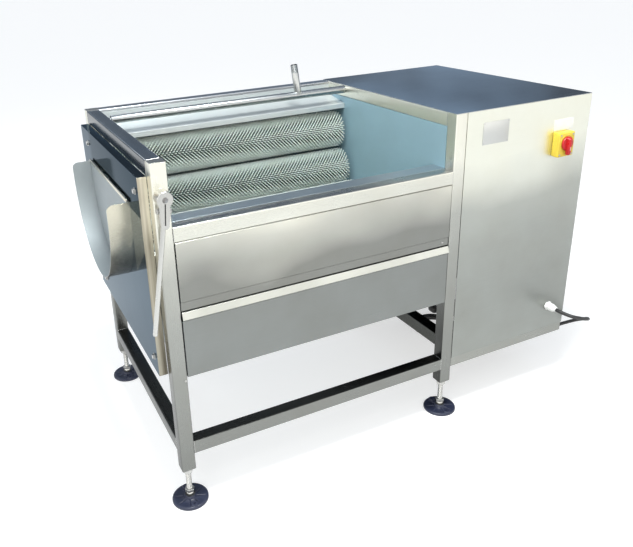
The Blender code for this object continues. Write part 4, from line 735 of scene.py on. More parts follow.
def make_gate():
    """Gate plate with its hem, shaft with arms and collars, and the lever on the front end."""
    low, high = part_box("gate_plate")
    centre_y, centre_z, radius = u_form("gate_plate")
    shape = bmesh.new()
    outline = u_section(centre_y, centre_z, radius, high.z - GATE_TOP)
    skin(shape, [[shape.verts.new((x, y, z)) for y, z in outline] for x in (high.x, high.x - GATE_SHEET)])
    show("gate_sheet", shape, "polished_steel", GATE_STEEL, "gate", node="gate_plate")
    hem = bmesh.new()
    hem_low = (low.x, low.y + HEM_INSET, high.z - HEM_HEIGHT)
    block(hem, hem_low, (high.x - HEM_GAP, high.y - HEM_INSET, high.z), HEM_EDGE)
    show("gate_hem", hem, "polished_steel", SPOUT_STEEL, "gate")

    shaft_low, shaft_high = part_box("gate_shaft")
    axis = Vector((shaft_high.x - SHAFT_RADIUS, 0, shaft_high.z - SHAFT_RADIUS))
    shape = bmesh.new()
    length = shaft_high.y - shaft_low.y
    inner = SHAFT_RADIUS - SHAFT_CHAMFER
    profile = [(0, 0), (inner, 0), (SHAFT_RADIUS, SHAFT_CHAMFER), (SHAFT_RADIUS, length - SHAFT_CHAMFER)]
    profile += [(inner, length), (0, length)]
    lathe(shape, profile, axis + Y_AXIS * shaft_low.y, BACK, MIDDLE)
    elbow = high.z - ELBOW_DROP
    heel = high.x + ARM_THICKNESS / 2
    for side in (-1, 1):
        arm_y = centre_y + side * ARM_OFFSET
        path = [axis + Y_AXIS * arm_y]
        path += [Vector((axis.x - x, arm_y, elbow + z)) for x, z in UPPER_BEND]
        path += [Vector((heel + x, arm_y, elbow - z)) for x, z in LOWER_BEND]
        strap(shape, path, Y_AXIS, ARM_WIDTH, ARM_THICKNESS)
        lathe(shape, COLLAR, axis + Y_AXIS * (arm_y - COLLAR[-1][1] / 2), BACK, MIDDLE)
    show("gate_shaft_steel", shape, "cast_steel", LEVER_STEEL, "gate", node="gate_shaft")
    make_lever(axis)


HUB_TILT = radians(5)
HUB_EDGE = 1 * MM
HUB_EDGE_INSET = 0.9 * MM
NECK = 12.5 * MM
NECK_BOTTOM = 72 * MM
NECK_SHOULDER = 40 * MM
NECK_CHAMFER = (3 * MM, 4 * MM)
NECK_FOOT = 6 * MM
SLOT_HALF = 1.5 * MM
SLOT_SPAN = (9 * MM, 62 * MM)
SLOT_DEPTH = (0.6 * MM, 0.5 * MM)
SHAFT_END = mm((0, 0), (6.6, 0), (8, 0.8), (8, 2), (0, 2))
SHAFT_END_PROUD = 0.4 * MM
PINCH_DROP = 30 * MM
PINCH_GAP = 0.4 * MM
PINCH_RADIUS = 7.5 * MM
PINCH_HEIGHTS = (6 * MM, 5 * MM)
HEX_CHAMFER = 0.7 * MM
ROD_LEAN = radians(9.9)
ROD_RADIUS = 6.25 * MM
ROD_SEAT = 10 * MM
ROD_END = 4 * MM
ROD_END_TURNS = (0.5, 1.0)


def tilt(shape, axis):
    """Turns a lever piece about the gate's axis, its lower end to the left."""
    bmesh.ops.rotate(shape, cent=axis, matrix=Matrix.Rotation(HUB_TILT, 3, "Y"), verts=shape.verts)


def make_lever(axis):
    """Clamp hub with a black block in its slot as painted shade, pinch bolt and nut, and the long round
    handle.
    """
    low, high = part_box("gate_lever")
    front = low.y
    back = high.y
    hub_radius = high.x - axis.x
    start = asin(NECK / hub_radius) - pi / 2
    outline = arc((0, 0), hub_radius, start, pi - start, MIDDLE)
    side = [(NECK, -NECK_SHOULDER), (NECK - NECK_CHAMFER[0], NECK_CHAMFER[1] - NECK_BOTTOM)]
    side.append((NECK_FOOT, -NECK_BOTTOM))
    outline += [(-a, b) for a, b in side] + side[::-1]
    shape = bmesh.new()
    rows = []
    edges = ((front, HUB_EDGE_INSET), (front + HUB_EDGE, 0), (back - HUB_EDGE, 0), (back, HUB_EDGE_INSET))
    for y, inset in edges:
        shares = [1 - inset / hypot(a, b) for a, b in outline]
        spots = [(axis.x + a * share, y, axis.z + b * share) for (a, b), share in zip(outline, shares)]
        rows.append([shape.verts.new(spot) for spot in spots])
    skin(shape, rows)
    tilt(shape, axis)
    show("lever_hub", shape, "polished_steel", LEVER_STEEL, "gate", node="gate_lever")
    # A thin black block in the slot: painted shade of the gap
    slot = bmesh.new()
    slot_shade_low = (axis.x - SLOT_HALF, front - SLOT_DEPTH[0], axis.z - SLOT_SPAN[1])
    block(slot, slot_shade_low, (axis.x + SLOT_HALF, front + SLOT_DEPTH[1], axis.z - SLOT_SPAN[0]))
    tilt(slot, axis)
    show("lever_slot", slot, "polished_steel", BLACK, "gate", smooth=0)
    end = axis + Y_AXIS * (front - SHAFT_END_PROUD)
    turned("lever_shaft_end", SHAFT_END, end, BACK, "cast_steel", MACHINED, MIDDLE, body="gate")
    bolt = bmesh.new()
    middle = (front + back) / 2
    for direction, height in zip((RIGHT, LEFT), PINCH_HEIGHTS):
        seat = Vector((axis.x + direction[0] * (NECK + PINCH_GAP), middle, axis.z - PINCH_DROP))
        hexagon(bolt, seat, direction, PINCH_RADIUS, height, HEX_CHAMFER)
    tilt(bolt, axis)
    show("lever_pinch_bolt", bolt, "polished_steel", BOLT_STEEL, "gate")
    reach = NECK_BOTTOM - ROD_SEAT
    top = Vector((axis.x - reach * sin(HUB_TILT), middle, axis.z - reach * cos(HUB_TILT)))
    down = Vector((-sin(ROD_LEAN), 0, -cos(ROD_LEAN)))
    length = (top.z - low.z + ROD_END) / cos(ROD_LEAN)
    profile = [(0, 0), (ROD_RADIUS, 0), (ROD_RADIUS, length - ROD_END)]
    profile += [(ROD_RADIUS * cos(a), length - ROD_END + ROD_END * sin(a)) for a in ROD_END_TURNS]
    profile.append((0, length))
    turned("lever_handle", profile, top, down, "polished_steel", LEVER_STEEL, MIDDLE, body="gate")


# Brush rollers

ROLLERS = range(1, 7)
RING_PITCH = 6 * MM
TUFTS = 28
TUFT_BRISTLES = 3
BRISTLE_SIDES = 3
BRUSH_START = 46 * MM
BRUSH_END = 874 * MM
CORE_RADIUS = 43 * MM
BRUSH_RADIUS = 66.2 * MM
TUFT_ROOT = 0.8 * MM
TUFT_SPLAY = 0.8 * MM
SPLAY_SHARES = (0.7, 1.1)
BRISTLE_ROOT = 1.1 * MM
BRISTLE_TIP = 1.2 * MM
ROOT_SINK = 1 * MM
CUT_SPREAD = 1.6 * MM
LEAN = 0.2 * MM
TURN_SPREAD = 0.006
SHAFT = (9 * MM, 10 * MM)
DISC = (30 * MM, 40.5 * MM)
END_STEP = 1 * MM
DISC_STEP = 2 * MM


def bristle_mesh(seed):
    """All bristles of one roller about its own axis, with a tip value from 0 to 1 on its points."""
    draw = random.Random(seed)
    verts = []
    faces = []
    tips = []
    rings = round((BRUSH_END - BRUSH_START) / RING_PITCH)
    for ring in range(rings):
        along = BRUSH_START + (ring + 0.5) * (BRUSH_END - BRUSH_START) / rings
        for tuft in range(TUFTS):
            turn = 2 * pi * (tuft + ring * 0.5) / TUFTS + draw.uniform(-TURN_SPREAD, TURN_SPREAD)
            out = Vector((0, cos(turn), sin(turn)))
            side = Vector((0, -out.z, out.y))
            lean = X_AXIS * draw.uniform(-LEAN, LEAN) + side * draw.uniform(-LEAN, LEAN)
            for a in circle(TUFT_BRISTLES):
                around = X_AXIS * cos(a) + side * sin(a)
                root = X_AXIS * along + out * (CORE_RADIUS - ROOT_SINK) + around * TUFT_ROOT
                cut = BRUSH_RADIUS - draw.uniform(0.0, CUT_SPREAD)
                tip = X_AXIS * along + out * cut + around * TUFT_SPLAY * draw.uniform(*SPLAY_SHARES) + lean
                inside = min(1, BRUSH_RADIUS / hypot(tip.y, tip.z))
                tip.y *= inside
                tip.z *= inside
                base = len(verts)
                for spot, size, shade in ((root, BRISTLE_ROOT, 0.0), (tip, BRISTLE_TIP, 1.0)):
                    for b in circle(BRISTLE_SIDES):
                        verts.append(spot + (X_AXIS * cos(a + b) + side * sin(a + b)) * size)
                        tips.append(shade)
                top = base + BRISTLE_SIDES
                for corner in range(BRISTLE_SIDES):
                    ahead = (corner + 1) % BRISTLE_SIDES
                    faces.append((base + corner, base + ahead, top + ahead, top + corner))
                faces.append(tuple(range(top, top + BRISTLE_SIDES)))
    mesh = bpy.data.meshes.new("bristles")
    mesh.from_pydata(verts, [], faces)
    mesh.attributes.new("tip", "FLOAT", "POINT").data.foreach_set("value", tips)
    return mesh


def make_rollers():
    """Each roller: a turned core with its shaft and end discs, and rings of splayed tufts."""
    for index in ROLLERS:
        node = f"brush_roller_{index}"
        low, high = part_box(node)
        centre = joint_place(f"roller_{index}_spin")
        centre.x = ORIGIN.x
        body = f"roller_{index}"
        half = []
        for end, disc, inward in ((low.x - ORIGIN.x, BRUSH_START, 1), (high.x - ORIGIN.x, BRUSH_END, -1)):
            step = END_STEP * inward
            points = [(0, end), (SHAFT[0], end), (SHAFT[1], end + step), (SHAFT[1], disc - step)]
            points += [(DISC[0], disc - step), (DISC[1], disc), (CORE_RADIUS, disc + DISC_STEP * inward)]
            half.append(points)
        profile = half[0] + half[1][::-1]
        turned(f"roller_core_{index}", profile, centre, RIGHT, "bristle", CORE, body=body, node=node)
        mesh = bristle_mesh(index)
        brush = place_in_scene(f"roller_bristles_{index}", mesh)
        brush.location = centre
        mesh.materials.append(BRISTLE)
        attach(brush, body)


# Water

PIPE_START = 50 * MM
PIPE_END = mm((2, 0), (0.6, 0.6), (0, 2))
PIPE_CHAMFER = 0.5 * MM
PIPE_STEPS = 56
STUB = mm((0, 0), (6, 0), (6, 10.5), (0, 10.5))
INLET_LEAN = radians(7.5)
INLET_BACK = 184.7 * MM
INLET_RADIUS = 12 * MM
INLET_BORE = 10.2 * MM
INLET_FLOOR = 14 * MM
THREAD_TURNS = 9
THREAD_PITCH = 2.6 * MM
THREAD_START = 25 * MM
THREAD_LEAD = 1 * MM
THREAD_GROOVE = mm((0.9, 0.4), (0, 1.4))
INLET_RIM = mm((0.8, 0.4), (1.1, 0))
WELD_SPREAD = 1.03
WELD_LIFT = 0.5 * MM
BEAD_RADIUS = 1.1 * MM


def make_spray_pipe():
    """Spray pipe and inlet, with a weld ring and a threaded mouth."""
    low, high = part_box("spray_pipe")
    radius = (high.y - low.y) / 2
    start = Vector((ORIGIN.x + PIPE_START, (low.y + high.y) / 2, low.z + radius))
    length = high.x - start.x
    shape = bmesh.new()
    profile = [(0, 0)] + [(radius - inset, level) for inset, level in PIPE_END]
    profile += [(radius, length - PIPE_CHAMFER), (radius - PIPE_CHAMFER, length), (0, length)]
    lathe(shape, profile, start, RIGHT, PIPE_STEPS)
    lathe(shape, STUB, Vector((low.x, start.y, start.z)), RIGHT, SMALL)
    show("spray_pipe_steel", shape, "polished_steel", PIPE_STEEL, node="spray_pipe")
    foot = Vector((high.x - INLET_BACK, start.y, start.z))
    rise = high.z - start.z
    profile = [(INLET_RADIUS, 0), (INLET_RADIUS, rise - THREAD_START - THREAD_LEAD)]
    for turn in range(THREAD_TURNS):
        level = rise - THREAD_START + turn * THREAD_PITCH
        profile += [(INLET_RADIUS - depth, level + lift) for depth, lift in THREAD_GROOVE]
    profile += [(INLET_RADIUS - inset, rise - drop) for inset, drop in INLET_RIM]
    profile += [(INLET_BORE, rise), (INLET_BORE, INLET_FLOOR), (0, INLET_FLOOR)]
    lean = (-sin(INLET_LEAN), 0, cos(INLET_LEAN))
    turned("inlet_pipe", profile, foot, lean, "polished_steel", PIPE_STEEL, smooth=50)
    bead = bmesh.new()
    ring = []
    for a in circle(ROUND) + [2 * pi]:
        x = INLET_RADIUS * WELD_SPREAD * cos(a)
        y = INLET_RADIUS * WELD_SPREAD * sin(a)
        ring.append(foot + Vector((x, y, sqrt(max(radius**2 - y**2, 0)) + WELD_LIFT)))
    sweep(bead, ring, BEAD_RADIUS, BEAD)
    show("inlet_weld", bead, "polished_steel", BOLT_STEEL)


# Feet

PAD_BOSS = mm((0, 0), (12, 0), (15, 0.8), (16.2, 2.5))
PAD_DISH = mm((17.5, 9), (21, 6.8), (30, 6.6), (42, 7.8), (48, 8.8))
PAD_RIM = mm((1.6, 7.4), (0.3, 5.6), (0, 4), (0, 0.8), (1, 0))
LUG_PLACE = (38 * MM, 6 * MM)
LUG = mm((4, 5), (6.2, 5.6), (9.8, 5.2), (11.2, 3.6), (12.2, 0))
LUG_HOLE = mm((4, 5), (3.8, 2), (0, 2))
RIBS = 8
RIB_ENDS = mm((16, 8), (44, 7.2))
RIB_RADII = [3 * MM, 2.2 * MM, 1.6 * MM]
BALL = mm((10, 0), (11, 1), (11, 6), (9.5, 9.5), (8.5, 10.8), (8, 11.5), (8, 22))
BOLT_THREAD = mm((8, 0), (7.1, 1))
BOLT_THREAD_START = 24 * MM
BOLT_THREAD_PITCH = 2 * MM
BOLT_THREAD_STOP = 4 * MM
BOLT_END = 7 * MM
COLLAR_NUT = (13.8 * MM, 9.8 * MM, 1.2 * MM)
COLLAR_NUT_RISE = 10.8 * MM
LOCK_NUT = (14.8 * MM, 11.8 * MM, 1.2 * MM)
NUT_GAP = 0.6 * MM
SEAL = mm((11.2, 0), (14, 0.2), (14.6, 1.2), (14, 2.2), (11.2, 2.4))
SEAL_RISE = 0.2 * MM


def make_feet():
    """Levelling feet: dished pad with two bolt lugs, ball spindle with thread, collar and nut."""
    for index in range(1, len(POSTS) + 1):
        node = f"foot_pad_{index}"
        low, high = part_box(node)
        centre = Vector(((low.x + high.x) / 2, (low.y + high.y) / 2, 0))
        radius = (high.x - low.x) / 2
        body = f"foot_{index}"
        shape = bmesh.new()
        profile = [(size, high.z - drop) for size, drop in PAD_BOSS] + PAD_DISH
        profile += [(radius - inset, level) for inset, level in PAD_RIM] + [(0, 0)]
        lathe(shape, profile, centre, UP, FINE)
        for side in (-1, 1):
            lug = centre + Vector((0, side * LUG_PLACE[0], LUG_PLACE[1]))
            lathe(shape, LUG, lug, UP, SMALL)
            lathe(shape, LUG_HOLE, lug, UP, SMALL)
        for a in circle(RIBS):
            a += pi / RIBS
            near, far = (centre + Vector((r * cos(a), r * sin(a), z)) for r, z in RIB_ENDS)
            sweep(shape, [near, near.lerp(far, 0.5), far], RIB_RADII, BEAD)
        show(f"foot_pad_moulded_{index}", shape, "navy_plastic", NAVY, body, smooth=40, node=node)
        make_spindle(index, body, centre)


def make_spindle(index, body, centre):
    node = f"foot_spindle_{index}"
    low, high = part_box(node)
    profile = [(0, low.z)] + [(size, low.z + rise) for size, rise in BALL]
    level = low.z + BOLT_THREAD_START
    while level < high.z - BOLT_THREAD_STOP:
        profile += [(size, level + rise) for size, rise in BOLT_THREAD]
        level += BOLT_THREAD_PITCH
    profile += [(BOLT_END, high.z), (0, high.z)]
    name = f"foot_spindle_steel_{index}"
    steel_look = ("polished_steel", LEVER_STEEL)
    turned(name, profile, centre, UP, *steel_look, SMALL, body=body, smooth=60, node=node)
    nuts = bmesh.new()
    top = POST_FOOT - FERRULE_HEIGHT - NUT_GAP
    for nut, level in ((COLLAR_NUT, low.z + COLLAR_NUT_RISE), (LOCK_NUT, top - LOCK_NUT[1])):
        hexagon(nuts, centre + Vector((0, 0, level)), UP, *nut)
    show(f"foot_nuts_{index}", nuts, "polished_steel", BOLT_STEEL, body)
    seat = centre + Vector((0, 0, low.z + SEAL_RISE))
    turned(f"foot_seal_{index}", SEAL, seat, UP, "black_rubber", BLACK, MIDDLE, body=body)


# Switch

SWITCH_EDGE = 4.2 * MM
DIAL_RING = mm((24.5, 0), (27.5, 0), (27.5, 0.6), (26.8, 1), (25, 1), (24.5, 0.4))
SCREW_REACH = (24.5 * MM, 30.5 * MM)
SCREW_HEAD = mm((0, 0.9), (0.8, 0.9), (1, 0.4), (1.4, 0.9), (2.6, 0.9), (3, 0.5), (3.1, -1), (0, -1))
KNOB_DISC = mm((0, 0), (21, 0), (22, 0.8), (22, 4.4), (21.2, 5.6), (19.8, 6), (0, 6))
GRIP_START = 3 * MM
GRIP_TAIL = 19.5 * MM
TAIL_OUTLINE = mm((5.8, 3), (3, 0))
POINT_OUTLINE = mm((4.6, 4), (2.2, 0.2))
WAIST = (5.2 * MM, -10 * MM)
GRIP_TOP = ((2.2 * MM, 0.92), (0.6 * MM, 0.80), (0, 0.62))
GRIP_SLOPE = 0.65
LINE_HALF = 0.8 * MM
LINE_SPAN = (0.55, 0.25)
LINE_DEPTH = (0.3 * MM, 0.4 * MM)
LINE_EDGE = 0.2 * MM


def make_switch():
    """Switch box with a raised round dial plate and screws, and the red knob with its grip."""
    low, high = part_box("switch_base")
    shape = bmesh.new()
    block(shape, low, high, SWITCH_EDGE, segments=4)
    show("switch_box", shape, "yellow_plastic", YELLOW, node="switch_base")
    knob_low, knob_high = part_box("switch_knob")
    axis = joint_place("switch_turn")
    axis.y = low.y
    turned("switch_dial_ring", DIAL_RING, axis, FRONT, "yellow_plastic", YELLOW, FINE)
    screws = bmesh.new()
    middle = (low + high) / 2
    for side in (-1, 1):
        for rise in (-1, 1):
            spot = Vector((middle.x + side * SCREW_REACH[0], low.y, middle.z + rise * SCREW_REACH[1]))
            lathe(screws, SCREW_HEAD, spot, FRONT, TINY)
    show("switch_screws", screws, "brushed_steel", BOLT_STEEL)
    knob = bmesh.new()
    start = knob_high.y
    lathe(knob, KNOB_DISC, Vector((axis.x, start, axis.z)), FRONT, FINE)
    tail = min(knob_high.z - axis.z, GRIP_TAIL)
    point = axis.z - knob_low.z
    side = [(a, tail - b) for a, b in TAIL_OUTLINE[::-1]] + [WAIST]
    side += [(a, b - point) for a, b in POINT_OUTLINE]
    outline = side + [(-a, b) for a, b in side[::-1]]
    depth = start - knob_low.y
    rows = []
    for out, share in ((GRIP_START, 1.0), *((depth - drop, share) for drop, share in GRIP_TOP)):
        rise = 1 - GRIP_SLOPE + GRIP_SLOPE * share
        spots = [(axis.x + a * share, start - out, axis.z + b * rise) for a, b in outline]
        rows.append([knob.verts.new(spot) for spot in spots])
    skin(knob, rows)
    show("switch_handle", knob, "red_plastic", RED, "knob", smooth=40, node="switch_knob")
    line = bmesh.new()
    line_low = (axis.x - LINE_HALF, knob_low.y - LINE_DEPTH[0], axis.z - point * LINE_SPAN[0])
    line_high = (axis.x + LINE_HALF, knob_low.y + LINE_DEPTH[1], axis.z - point * LINE_SPAN[1])
    block(line, line_low, line_high, LINE_EDGE, segments=1)
    show("switch_pointer_line", line, "white_nylon", WHITE, "knob", smooth=0)


# Plates and fasteners, their places in the machine frame

PAN_HEAD_SHARES = ((0, 0.55), (0.28, 0.55), (0.34, 1), (0.70, 0.88), (0.93, 0.50), (1, 0.10))
PAN_HEAD_SINK = 0.8 * MM
PAN_HEAD_STEPS = 28
RATING_PLATE = (at(0.984, 0, 0.897), at(1.081, 0, 0.964))
RATING_PLATE_PROUD = 0.9 * MM
RATING_PLATE_EDGE = (0.3 * MM, 2)
LABEL = (at(1.263, 0, 0.901), at(1.344, 0, 0.935))
LABEL_PROUD = 0.5 * MM
LABEL_EDGE = (0.1 * MM, 1)
PLATE_GAP = 0.1 * MM
RIVET = (1.8 * MM, 0.9 * MM)
RIVET_INSET = 4 * MM
BOLT_PLACES = ((0.070, 0.920), (0.620, 0.920), (0.070, 0.458), (0.620, 0.458))
WASHER = mm((9.2, 0), (9.2, 1.2), (8.6, 1.5), (0, 1.5))
WASHER_STEPS = 36
BOLT_HEAD = (6.8 * MM, 4.8 * MM, HEX_CHAMFER)
BOLT_SEAT = 1.3 * MM
PANEL_SCREW_PLACES = ((0.035, 0.0002, 0.402), (0.862, 0.003, 0.617))
PANEL_SCREW = (3.5 * MM, 1.8 * MM)


def pan_head(shape, spot, direction, radius, height):
    """A domed screw head with a small recess."""
    profile = [(radius * a, height * b) for a, b in PAN_HEAD_SHARES]
    profile += [(radius, -PAN_HEAD_SINK), (0, -PAN_HEAD_SINK)]
    lathe(shape, profile, spot, direction, PAN_HEAD_STEPS)


def plate_on_front(name, corners, proud, edge, slot, look):
    """A thin bare plate on the cabinet's front."""
    low, high = corners
    shape = bmesh.new()
    low_corner = (low.x, ORIGIN.y - proud, low.z)
    block(shape, low_corner, (high.x, ORIGIN.y - PLATE_GAP, high.z), *edge)
    show(name, shape, slot, look)


def make_plates():
    """A bare rating plate with rivets and a bare label, where the machine has its two plates."""
    edge = RATING_PLATE_EDGE
    plate_on_front("rating_plate", RATING_PLATE, RATING_PLATE_PROUD, edge, "polished_steel", PLATE)
    rivets = bmesh.new()
    low, high = RATING_PLATE
    for x in (low.x + RIVET_INSET, high.x - RIVET_INSET):
        for z in (low.z + RIVET_INSET, high.z - RIVET_INSET):
            pan_head(rivets, Vector((x, ORIGIN.y - RATING_PLATE_PROUD, z)), FRONT, *RIVET)
    show("rating_plate_rivets", rivets, "brushed_steel", BOLT_STEEL)
    plate_on_front("switch_label", LABEL, LABEL_PROUD, LABEL_EDGE, "white_nylon", WHITE)


def make_bolts():
    """Hex bolts of the end wall, screws of the panels and the small screw on the front leg."""
    bolts = bmesh.new()
    for y, z in BOLT_PLACES:
        spot = at(0, y, z)
        spot.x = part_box("end_wall")[0].x
        lathe(bolts, WASHER, spot, LEFT, WASHER_STEPS)
        hexagon(bolts, spot - X_AXIS * BOLT_SEAT, LEFT, *BOLT_HEAD)
    show("end_wall_bolts", bolts, "brushed_steel", BOLT_STEEL)
    screws = bmesh.new()
    for place in PANEL_SCREW_PLACES:
        pan_head(screws, at(*place), FRONT, *PANEL_SCREW)
    show("panel_screws", screws, "brushed_steel", BOLT_STEEL)


# Cord

CORD_RADIUS = 6 * MM
# The cord's run from the gland to its coil: x from the gland, y and z in the machine frame
CORD_ROUTE = (
    (0.012, -0.091, 0.280), (0.043, -0.110, 0.272), (0.079, -0.104, 0.258), (0.106, -0.076, 0.238),
    (0.115, -0.030, 0.208), (0.115, 0.030, 0.162), (0.115, 0.095, 0.108), (0.112, 0.160, 0.056),
    (0.102, 0.220, 0.021), (0.079, 0.272, 0.0066), (0.039, 0.310, 0.0063), (-0.001, 0.345, 0.0063),
    (-0.026, 0.385, 0.0063),
)
COIL_CENTRE = (1.220, 0.450)
COIL_RADIUS = 66 * MM
COIL_PITCH = 12.7 * MM
COIL_LAYER_TURNS = 2
COIL_STEPS = 48
COIL_LEAD_OUT = 62 * MM
LEAD_IN = 1.5
LEAD_OUT_SHARES = (0.25, 0.5, 0.75, 1)
FLOOR_GAP = 0.3 * MM
SKIN_GAP = 0.1 * MM
CORD_SIDES = 20
ROUTE_STEPS = 5
GLAND_HEX = (15.8 * MM, 7.5 * MM, 1 * MM)
GLAND = mm((0, 4), (12.8, 4), (12.8, 10), (12, 10.8), (12, 11.8), (13, 12.6), (13, 24), (12.2, 28.5),
           (10.5, 32), (9.2, 34.5))
GLAND_MOUTH = mm((8.6, 0.8), (8, 0), (6.4, 0), (6.4, 4), (0, 4))
MOUTH_GAP = 0.3 * MM
GLAND_RIBS = 16
GLAND_RIB_ENDS = mm((12.9, 13.5), (12.7, 23.5))
GLAND_RIB_RADII = [0.6 * MM, 0.8 * MM, 0.5 * MM]
PLUG_RIBS = 5
PLUG_RIB_PITCH = 3 * MM
PLUG_RIB = mm((8.2, 0), (8.6, 1.2), (8.6, 1.8), (7, 2.2))
PLUG = mm((10, 15.5), (15, 22), (17.6, 28), (18, 33), (18, 50), (17.2, 51.6), (16, 52), (0, 52))
PIN_PLACE = (9.5 * MM, 51.5 * MM)
PIN = mm((0, 0), (2.4, 0), (2.4, 17.5), (1.8, 19), (0, 19.3))
TIE_HALF = (20.5 * MM, 11.8 * MM)
TIE_SQUARENESS = 0.7
TIE_LIFT = 0.2 * MM
TIE_SIZE = (10 * MM, 0.9 * MM)


def coil_route():
    middle = COIL_LAYER_TURNS * 2 * pi
    inner = COIL_RADIUS - COIL_PITCH * COIL_LAYER_TURNS / 2
    points = []
    for index in range(2 * COIL_LAYER_TURNS * COIL_STEPS + 1):
        turn = 2 * pi * index / COIL_STEPS
        radius = inner + COIL_PITCH * abs(turn - middle) / (2 * pi)
        climb = min(max((turn - middle) / pi + 0.5, 0), 1)
        x = COIL_CENTRE[0] + radius * cos(turn)
        y = COIL_CENTRE[1] + radius * sin(turn)
        points.append(at(x, y, CORD_RADIUS + FLOOR_GAP + COIL_PITCH * climb))
    return points


def smooth_route(stations):
    """A smooth curve through stations, with straight first and last stretches."""
    fine = [stations[0]]
    for index in range(1, len(stations) - 2):
        before, start, end, after = stations[index - 1 : index + 3]
        for part in range(ROUTE_STEPS):
            t = part / ROUTE_STEPS
            point = 2 * start + (end - before) * t
            point += (2 * before - 5 * start + 4 * end - after) * t * t
            point += (3 * start - 3 * end + after - before) * t * t * t
            fine.append(point / 2)
    fine += [stations[-2], stations[-1]]
    return fine


def make_gland():
    low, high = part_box("cord_gland")
    base = (low + high) / 2
    base.y = high.y
    length = high.y - low.y
    shape = bmesh.new()
    hexagon(shape, base, FRONT, *GLAND_HEX)
    lathe(shape, GLAND + [(size, length - drop) for size, drop in GLAND_MOUTH], base, FRONT)
    for a in circle(GLAND_RIBS):
        side = Vector((cos(a), 0, sin(a)))
        near, far = (base + side * reach - Y_AXIS * depth for reach, depth in GLAND_RIB_ENDS)
        sweep(shape, [near, near.lerp(far, 0.5), far], GLAND_RIB_RADII, HEX)
    gland = show("cable_gland", shape, "white_nylon", WHITE, smooth=40, node="cord_gland")
    return gland, base - Y_AXIS * (length + MOUTH_GAP)


def make_plug(coil_end):
    start = Vector((coil_end.x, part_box("cord_plug")[0].y, coil_end.z))
    profile = [(0, 0)]
    for rib in range(PLUG_RIBS):
        profile += [(size, rib * PLUG_RIB_PITCH + rise) for size, rise in PLUG_RIB]
    look = ("black_rubber", BLACK)
    body = turned("plug_body", profile + PLUG, start, BACK, *look, smooth=45, node="cord_plug")
    pins = bmesh.new()
    for side in (-1, 1):
        lathe(pins, PIN, start + Vector((side * PIN_PLACE[0], PIN_PLACE[1], 0)), BACK, TINY)
    return body, show("plug_pins", pins, "polished_steel", PIPE_STEEL)


def squared(value):
    """A sine or cosine pushed out towards a rounded square."""
    return copysign(abs(value) ** TIE_SQUARENESS, value)


def make_tie():
    tie = bmesh.new()
    middle = at(COIL_CENTRE[0] - COIL_RADIUS, COIL_CENTRE[1], CORD_RADIUS + COIL_PITCH / 2)
    ring = []
    for a in circle(SMALL) + [2 * pi]:
        x = TIE_HALF[0] * squared(cos(a))
        ring.append(middle + Vector((x, 0, TIE_HALF[1] * squared(sin(a)) + TIE_LIFT)))
    strap(tie, ring, Y_AXIS, *TIE_SIZE)
    return show("cord_tie", tie, "black_rubber", BLACK)


def make_cord():
    """Gland, one cord from the gland through its coil to the plug, and the tie on the coil."""
    gland, mouth = make_gland()
    coil = coil_route()
    straight = Y_AXIS * 2 * CORD_RADIUS
    stations = [mouth, mouth - straight]
    stations += [at(mouth.x - ORIGIN.x + x, y, z) for x, y, z in CORD_ROUTE]
    stations += [coil[0] - straight * LEAD_IN, coil[0]]
    lead_out = Y_AXIS * COIL_LEAD_OUT
    path = smooth_route(stations)[:-1] + coil
    path += [coil[-1] + lead_out * share for share in LEAD_OUT_SHARES]
    shape = bmesh.new()
    sweep(shape, path, CORD_RADIUS - SKIN_GAP, CORD_SIDES)
    cord = show("mains_cord", shape, "black_rubber", BLACK, smooth=60)
    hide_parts("cord_run", "cord_coil")
    body, pins = make_plug(path[-1])
    pieces = [gland, body, pins, make_tie()]


# Finishes of the CAD nodes that stay

KEPT = (
    (FRAME_STEEL, "cabinet_frame"),
    (WALL, "end_wall"),
    (RIGHT_INSIDE, "right_wall"),
    (INSIDE, "back_panel", "front_guard", "drain_hopper"),
    (PANEL_X, "front_upper_panel"),
    (PANEL_LOW, "front_lower_panel"),
    (SPLASH, "splash_guard"),
    (PANEL_Z, "cabinet_front_panel", "cabinet_back_panel", "cabinet_right_panel"),
    (TOP_SHEET, "cabinet_top_panel"),
    (STEEL_X, "motor_bracket"),
    (MOTOR, "gear_motor"),
    (MACHINED, "roller_chain", "motor_chain", "driven_sprocket", "drive_sprocket"),
    (MACHINED, *(f"roller_sprocket_{index}" for index in ROLLERS)),
)


def dress_frame():
    for look, *nodes in KEPT:
        for node in nodes:
            mesh = NODES[node].data
            mesh.materials.clear()
            mesh.materials.append(look)


# Stage, light and camera

FLOOR_HALF = 60.0
FLOOR_COLOUR = (0.56, 0.56, 0.552)
FLOOR_GLOW = 0.56
FLOOR_ROUGHNESS = 0.9


def make_stage():
    """A wide pale floor that keeps the machine's shadow."""
    shape = bmesh.new()
    bmesh.ops.create_grid(shape, x_segments=1, y_segments=1, size=FLOOR_HALF)
    mesh = bpy.data.meshes.new("floor")
    shape.to_mesh(mesh)
    shape.free()
    look = Look("pale_floor", FLOOR_COLOUR, FLOOR_ROUGHNESS, Specular_IOR_Level=0.1, Emission_Color=(1, 1, 1))
    rays = look.node("LightPath").outputs
    seen = look.maths("MAXIMUM", rays["Is Camera Ray"], rays["Is Glossy Ray"], rays["Is Transmission Ray"])
    look.finish(Emission_Strength=look.maths("MULTIPLY", seen, FLOOR_GLOW))
    mesh.materials.append(look.material)
    place_in_scene("floor", mesh)


